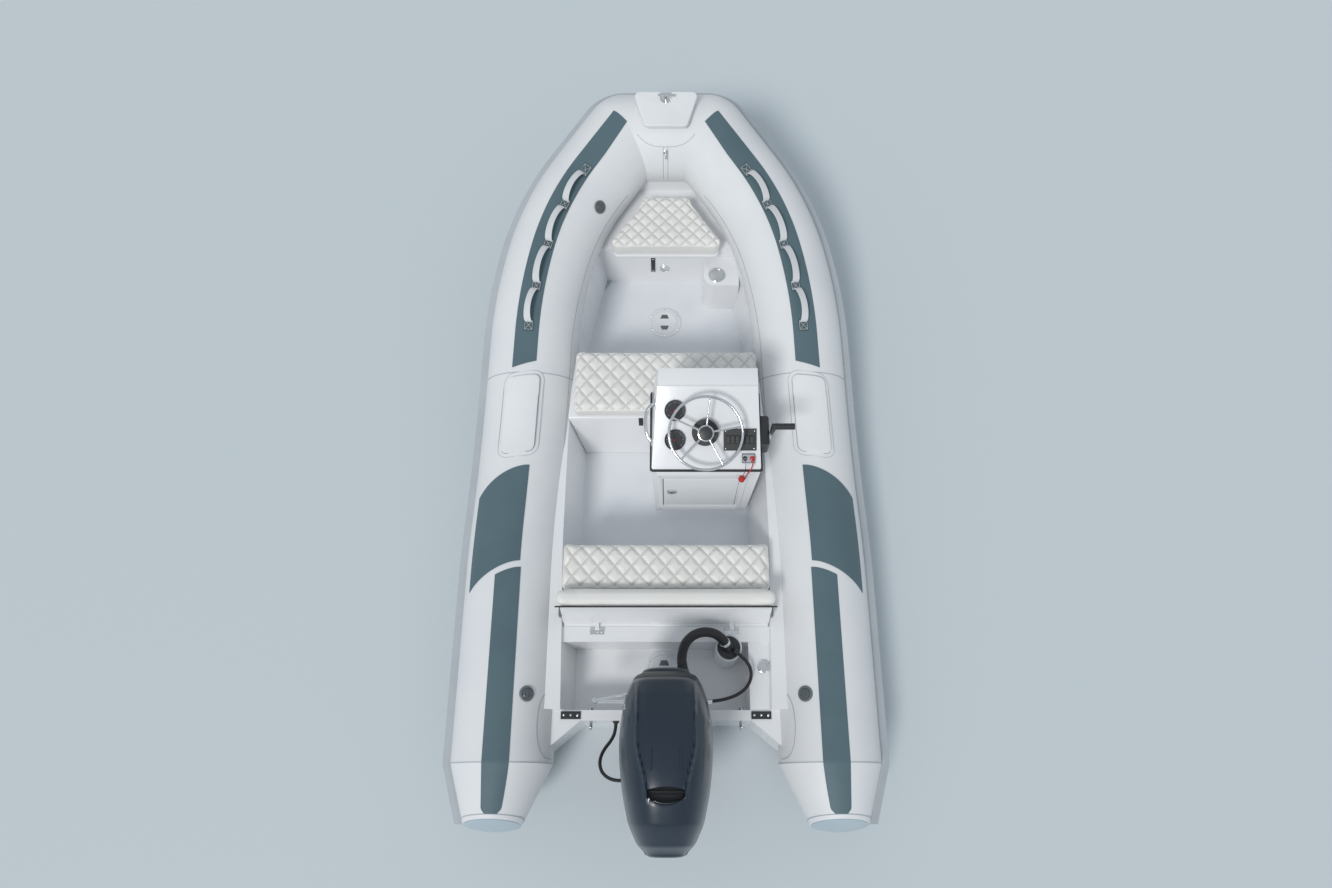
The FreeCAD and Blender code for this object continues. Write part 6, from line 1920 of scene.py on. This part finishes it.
@dataclass
class Stern:
    """After bench trim, well fittings and the transom's hardware."""

    welt_x: float = 0.494
    welt: Pair = (-0.9065, 0.5335)
    hinge_x: Pair = (-0.315, 0.301)
    deck_plates: tuple[Point, ...] = ((-0.008, 0.774, 0.105), (-0.009, -1.134, 0.155))
    plate_radius: float = 0.092
    filler: Point = (0.44, -1.145, 0.367)
    rigging: Point = (0.285, -1.062, 0.381)
    rigging_radius: float = 0.052
    transom_plate_x: float = 0.425
    transom_plate: Point = (-1.3525, 0.3375)
    nut_x: Pair = (-0.34, 0.34)
    nut_z: Pair = (0.225, 0.29)

    def build(self) -> None:
        """Adds the stern's small fittings."""
        self._bench()
        self._deck_plates()
        self._well()
        self._transom()

    def _bench(self) -> None:
        """Dark welt under the bolster and gussets at its ends."""
        run = [Vector((side * self.welt_x, self.welt[0], self.welt[1])) for side in (-1, 1)]
        fit(swept(run, 0.0036, 12, 0.02), "bolster_welt", GASKET, Body.AFT_LID)
        gussets = [block((low, -0.937, 0.428), (high, -0.898, 0.478), bevel=0.002)
            for low, high in ((-0.483, -0.469), (0.469, 0.483))]
        fit(gussets, "bolster_gussets", VALVE_PLASTIC, Body.AFT_LID)
        leaves = [(x + dx, -0.992, 0.3746) for x in self.hinge_x for dx in (-0.022, 0.0, 0.022)]
        fit(studs(leaves, Z_AXIS, 0.004, 0.0016), "hinge_screws", STEEL)

    def _deck_plates(self) -> None:
        """Round screw-in hatches with six screws and two finger holds."""
        rings, lids, holds, screws = [], [], [], []
        for x, y, z in self.deck_plates:
            r = self.plate_radius
            foot = Vector((x, y, z))
            rings.append(lathe(mm((0, -3), (0, 0.6), (-4, 2.4), (-17, 3), (-19, 1.2), (-19, -0.5),
                start=(r, 0)), foot, Z_AXIS, 72))
            lids.append(lathe([(r - 0.021, -0.001), (r - 0.021, 0.0024), (r - 0.023, 0.0036),
                (r - 0.03, 0.0036), (r - 0.032, 0.0026), (0.0005, 0.0026)], foot, Z_AXIS, 72))
            for turn in range(6):
                angle = radians(30 + 60 * turn)
                screws.append((x + (r - 0.0105) * cos(angle), y + (r - 0.0105) * sin(angle),
                    z + 0.0026))
            for flip in (-1, 1):
                outline = [(x - 0.024, y + flip * 0.022), (x + 0.024, y + flip * 0.022),
                    (x + 0.015, y + flip * 0.047), (x - 0.015, y + flip * 0.047)]
                corners = [(a, b, z + 0.0022) for a, b in outline]
                holds.append(prism(corners, (0, 0, 0.001), bevel=0.0004))
        fit(rings, "deck_plate_rings", PALE_PLASTIC)
        fit(lids, "deck_plate_lids", PALE_PLASTIC)
        fit(holds, "deck_plate_holds", VALVE_CAP)
        fit(studs(screws, Z_AXIS, 0.0042, 0.0018), "deck_plate_screws", STEEL)

    def _well(self) -> None:
        """Filler cap, and the flange and screws where the rigging hose comes up."""
        foot = Vector(self.filler)
        cap = lathe(mm((27.5, -4), (27.5, 1.5), (24.5, 3.5), (18, 4.2), (17.2, 2.6), (0.5, 2.6)),
            foot, Z_AXIS, 56)
        slot = block(foot + Vector((-0.013, -0.0022, 0.002)),
            foot + Vector((0.013, 0.0022, 0.0048)), bevel=0.001)
        fit([cap, slot], "filler_cap", STEEL)
        foot = Vector(self.rigging)
        r = self.rigging_radius
        places = [(foot.x + (r - 0.01) * cos(turn), foot.y + (r - 0.01) * sin(turn), foot.z)
            for turn in (radians(60 * k + 20) for k in range(6))]
        fit(studs(places, Z_AXIS, 0.005, 0.003), "rigging_flange_screws", BLACK_PLASTIC)
        start = Vector(RIGGING_ROUTE[0])
        axis = Vector(RIGGING_ROUTE[1]) - start
        fit(lathe(mm((21.5, -2), (24.5, 0), (24.5, 14), (22.2, 16)), start, axis, 40),
            "rigging_hose_clamp", STEEL)

    def _transom(self) -> None:
        """Screws in the clamp plates and washers under the eye bolts' nuts."""
        y, z = self.transom_plate
        places = [(side * self.transom_plate_x + dx, y, z) for side in (-1, 1)
            for dx in (-0.031, 0.0, 0.031)]
        fit(studs(places, Z_AXIS, 0.0052, 0.0026), "transom_plate_screws", STEEL)
        washers = [lathe(mm((14, -0.5), (14, 1.6), (10, 1.8)), (x, -1.33, nz), Y_AXIS, 28)
            for x in self.nut_x for nz in self.nut_z]
        fit(washers, "eye_bolt_washers", STEEL)


@dataclass
class Outboard:
    """The outboard's cowl with its trim, and the nuts of the tilt tube."""

    pin_y: float = -1.462
    split_z: float = 0.56
    base_z: float = 0.478
    stations: tuple[Triple, ...] = ((0.257, 0.104, 0.215), (0.24, 0.128, 0.285),
        (0.205, 0.151, 0.35), (0.15, 0.171, 0.397), (0.06, 0.187, 0.438), (-0.048, 0.192, 0.457),
        (-0.198, 0.178, 0.44), (-0.328, 0.15, 0.38), (-0.405, 0.114, 0.296), (-0.44, 0.08, 0.222))
    rows: int = 120
    columns: int = 84
    squareness: float = 2.9
    crease_x: float = 0.113
    crease_taper: float = 0.036
    crease_rise: float = 0.01
    crease_width: float = 0.0065
    slot_x: float = 0.072
    slot_z: float = 0.868
    slot_y: Pair = (-1.714, -1.658)
    ridge_x: float = 0.056
    ridge_y: Pair = (-1.6, -1.52)

    def build(self) -> None:
        """Adds every piece of the outboard."""
        self._cowl()
        self._cowl_trim()
        self._tilt_tube()

    def _size(self, ahead: float) -> Pair:
        """Half breadth and height of the cowl at a distance ahead of the king pin."""
        table = (self.stations[0], *self.stations, self.stations[-1])
        ahead = min(ahead, self.stations[0][0])
        for before, high, low, after in zip(table, table[1:], table[2:], table[3:]):
            if ahead >= low[0]:
                share = (high[0] - ahead) / (high[0] - low[0])
                return tuple(self._blend(before[k], high[k], low[k], after[k], share)
                    for k in (1, 2))
        return table[-1][1:]

    @staticmethod
    def _blend(a: float, b: float, c: float, d: float, share: float) -> float:
        """A smooth value between b and c, with its slope from their neighbours.

        Args:
            a: Value before b.
            b: Value at share 0.
            c: Value at share 1.
            d: Value after c.
            share: How far from b to c.

        Returns:
            The value there.
        """
        slope_b, slope_c = (c - a) / 2, (d - b) / 2
        s2, s3 = share * share, share ** 3
        return (b * (2 * s3 - 3 * s2 + 1) + slope_b * (s3 - 2 * s2 + share) + c * (3 * s2 - 2 * s3)
            + slope_c * (s3 - s2))

    def _crease_x(self, ahead: float) -> float:
        """Distance of the long crease from the middle line."""
        taper = min(1.0, max(0.0, (-0.02 - ahead) / 0.2))
        return self.crease_x - self.crease_taper * taper * taper * (3 - 2 * taper)

    def surface(self, ahead: float, turn: float, lift: float = 0.0) -> Vector:
        """A point on the cowl.

        Args:
            ahead: Distance ahead of the king pin.
            turn: Angle over the cowl, from 0 at starboard to pi at port.
            lift: Height over the surface.

        Returns:
            The point, with the crease along each side of the top.
        """
        half, height = self._size(ahead)
        half, height = half + lift, height - (self.split_z - self.base_z) + lift
        power = 2 / self.squareness
        c, s = cos(turn), sin(turn)
        x = math.copysign(abs(c) ** power, c) * half
        z = max(0.0, s) ** power * height
        fade = min(1.0, max(0.0, (0.215 - ahead) / 0.08))
        fade *= min(1.0, max(0.0, (ahead + 0.26) / 0.06))
        gap = (abs(x) - self._crease_x(ahead)) / self.crease_width
        z += self.crease_rise * fade * math.exp(-gap * gap) * min(1.0, z / 0.1)
        if abs(x) < self._crease_x(ahead):
            z -= 0.005 * fade * (1 - math.exp(-gap * gap))
        return Vector((x, self.pin_y + ahead, self.split_z + 0.001 + z))

    def _cowl(self) -> None:
        """The moulded cowl with its creases and its intake slot."""
        front, aft = self.stations[0][0], self.stations[-1][0]
        shape = bmesh.new()
        turns = [pi * k / self.columns for k in range(self.columns + 1)]
        rings = []
        for row in range(self.rows + 1):
            ahead = front + (aft - front) * row / self.rows
            rings.append([self.surface(ahead, turn) for turn in turns])
        caps = ((0.985, 0.006), (0.94, 0.012), (0.84, 0.018), (0.66, 0.022), (0.4, 0.0245),
            (0.15, 0.0255))
        nose, tail = [], []
        foot_z = self.split_z + 0.001
        for scale, push in caps:
            for ring, store, sign, depth in ((rings[0], nose, 1, 0.9), (rings[-1], tail, -1, 0.5)):
                store.append([Vector((p.x * scale, p.y + sign * push * depth,
                    foot_z + (p.z - foot_z) * scale)) for p in ring])
        rings = [*reversed(nose), *rings, *tail]
        grid = [[shape.verts.new(point) for point in ring] for ring in rings]
        for low, high in zip(grid, grid[1:]):
            for k in range(self.columns):
                shape.faces.new((low[k], low[k + 1], high[k + 1], high[k]))
        shape.faces.new(grid[0])
        shape.faces.new(list(reversed(grid[-1])))
        shape.faces.new([ring[0] for ring in grid] + [ring[-1] for ring in reversed(grid)])
        bmesh.ops.recalc_face_normals(shape, faces=shape.faces)
        obj = made_of(shape)
        y0, y1 = self.slot_y
        steps = [-1 + 2 * k / 12 for k in range(13)]
        outline = [(a * self.slot_x, y1 + 0.012 * (1 - a * a) - 0.01, self.slot_z) for a in steps]
        outline += [(a * self.slot_x, y0 + 0.02 * a * a, self.slot_z) for a in reversed(steps)]
        carved(obj, prism(outline, (0, 0, 0.12)))
        fit(smooth(obj, 32), "cowl_moulding", ENGINE_PAINT, Body.ENGINE, ["cowl"])

    def _on_top(self, x: float, ahead: float, lift: float) -> Vector:
        """A point over the cowl at a place across and along it.

        Args:
            x: Place across the cowl.
            ahead: Distance ahead of the king pin.
            lift: Height over the surface.

        Returns:
            The point.
        """
        low, high = 0.0, pi / 2
        for _ in range(24):
            middle = (low + high) / 2
            if abs(self.surface(ahead, middle).x) > abs(x):
                low = middle
            else:
                high = middle
        point = self.surface(ahead, (low + high) / 2)
        return Vector((x, point.y, point.z + lift))

    def _cowl_trim(self) -> None:
        """Ridges, the intake's lip and grille, nose band, seal and latch."""
        ridges = []
        for side in (-1, 1):
            y0, y1 = self.ridge_y
            line = [self._on_top(side * self.ridge_x, y0 - self.pin_y + (y1 - y0) * k / 10, 0.0005)
                for k in range(11)]
            ridges.append(swept(line, 0.0042, sides=12))
        fit(ridges, "cowl_ridges", ENGINE_PAINT, Body.ENGINE)
        y0 = self.slot_y[0]
        lip = [self._on_top(a * self.slot_x * 0.86, y0 - 0.01 + 0.02 * a * a - self.pin_y, 0.0008)
            for a in (-1 + 2 * k / 20 for k in range(21))]
        fit(swept(lip, 0.0055, sides=14), "intake_lip", ENGINE_PAINT, Body.ENGINE)
        floor = block((-self.slot_x - 0.001, self.slot_y[0] - 0.001, 0.866),
            (self.slot_x + 0.001, self.slot_y[1] + 0.004, 0.872), bevel=0.0015)
        bars = [block((-self.slot_x + 0.004, y - 0.0014, 0.87),
            (self.slot_x - 0.004, y + 0.0014, 0.879), bevel=0.0006)
            for y in (-1.7, -1.686, -1.672)]
        fit([floor, *bars], "intake_grille", ENGINE_DARK, Body.ENGINE)
        band = laid(lambda across, along: self.surface(0.252 - 0.03 * along,
            pi * (0.06 + 0.88 * across), 0.0022), 60, 6, 0.0018)
        fit(outward(band), "cowl_nose_band", ENGINE_DARK, Body.ENGINE)
        line = [Vector((self._size(ahead)[0] + 0.0006, self.pin_y + ahead, self.split_z + 0.0005))
            for ahead in (0.257 - 0.7 * k / 60 for k in range(61))]
        ring = [*line, *[Vector((-p.x, p.y, p.z)) for p in reversed(line)]]
        ring.append(ring[0].copy())
        fit(swept(evenly(ring, 0.01), 0.0032, sides=8), "cowl_seal", ENGINE_DARK, Body.ENGINE)
        handle_y = self.pin_y - 0.443
        fit(block((-0.034, handle_y - 0.012, 0.532), (0.034, handle_y + 0.004, 0.585),
            bevel=0.006), "cowl_latch", ENGINE_DARK, Body.ENGINE)

    def _tilt_tube(self) -> None:
        """The nuts at the ends of the tilt tube."""
        profile = mm((22, 0), (22, 14), (20, 16), (17, 16.5))
        nuts = [lathe(profile, (way * 0.118, -1.3, 0.392), X_AXIS * way, sides=6)
            for way in (1, -1)]
        fit(nuts, "tilt_tube_nuts", STEEL)


NODE_FINISH: dict[Finish, str] = {
    COLLAR_FABRIC: "tube_aft_port tube_aft_starboard tube_forward_port tube_forward_starboard "
                   "tube_bow stern_cones",
    STRAKE: "rub_strake_port rub_strake_starboard rub_strake_bow",
    STEP_PAD: "side_step_pads",
    WEBBING: "grab_handles",
    VALVE_PLASTIC: "air_valves",
    GELCOAT: "hull side_port side_starboard bow_moulding transom splash_well aft_bench_base "
             "aft_seat_lid mid_bench_base console console_door door_frame bow_locker_lid "
             "cup_holder_pod bow_step_pad",
    SOLE_GELCOAT: "cockpit_sole",
    CUSHION_VINYL: "aft_bolster",
    STEEL: "bow_cleat tow_eyes bow_locker_latch console_door_latch steering_wheel grab_rail "
           "lid_hinges steering_ram",
    BLACK_PLASTIC: "helm_base dash_instruments throttle stern_fittings",
    PALE_PLASTIC: "deck_plates",
    HOSE_RUBBER: "rigging_hose steering_cable fuel_hose",
    ENGINE_PAINT: "clamp_bracket swivel_bracket midsection gearcase cowl cowl_pan",
    ENGINE_BLOCK: "powerhead",
    PROPELLER_PAINT: "propeller",
}


def dress_nodes(nodes: dict[str, Piece]) -> None:
    """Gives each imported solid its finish."""
    for finish, names in NODE_FINISH.items():
        for name in names.split():
            dress(nodes[name], finish)


SOFTENED: tuple[tuple[str, Body, Finish, float], ...] = (
    ("console", Body.HULL, GELCOAT, 0.007),
    ("bow_step_pad", Body.HULL, STEP_PAD, 0.006),
    ("mid_bench_base", Body.HULL, GELCOAT, 0.008),
    ("console_door", Body.DOOR, GELCOAT, 0.0025),
    ("door_frame", Body.HULL, GELCOAT, 0.0025),
    ("bow_locker_lid", Body.BOW_LID, GELCOAT, 0.005),
    ("aft_bench_base", Body.HULL, GELCOAT, 0.006),
    ("midsection", Body.ENGINE, ENGINE_PAINT, 0.006),
    ("cowl_pan", Body.ENGINE, ENGINE_PAINT, 0.008),
    ("cup_holder_pod", Body.HULL, GELCOAT, 0.006),
)


def soften_shells(nodes: dict[str, Piece]) -> None:
    """Rounds the edges of the moulded shells, each a copy that stands for its solid."""
    for name, body, finish, width in SOFTENED:
        fit(softened(nodes[name], width), name + "_moulded", finish, body, [name])


def main() -> None:
    """Builds the whole scene."""
    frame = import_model()
    deselect()
    nodes = frame["nodes"]
    Studio().build()
    dress_nodes(nodes)
    Hoses().build()
    Collar(Skin(CollarPath())).build()
    Console().build()
    Helm(Dash()).build()
    BowFittings().build()
    Stern().build()
    Outboard().build()
    soften_shells(nodes)
    for cushion in (
            Cushion("aft_cushion", "aft_seat_cushion", Body.AFT_LID, shrink=0.006),
            Cushion("aft_bolster_padded", "aft_bolster", Body.AFT_LID, diamond=None,
                    shrink=0.005, corner=0.024, plan_corner=0.03),
            Cushion("middle_cushion", "mid_bench_cushion", Body.HULL),
            BowCushion("bow_cushion_quilted", "bow_cushion", Body.BOW_LID, shrink=0.001,
                       diamond=(0.072, 0.08), plan_corner=0.042)):
        cushion.build()


if __name__ == "__main__":
    main()
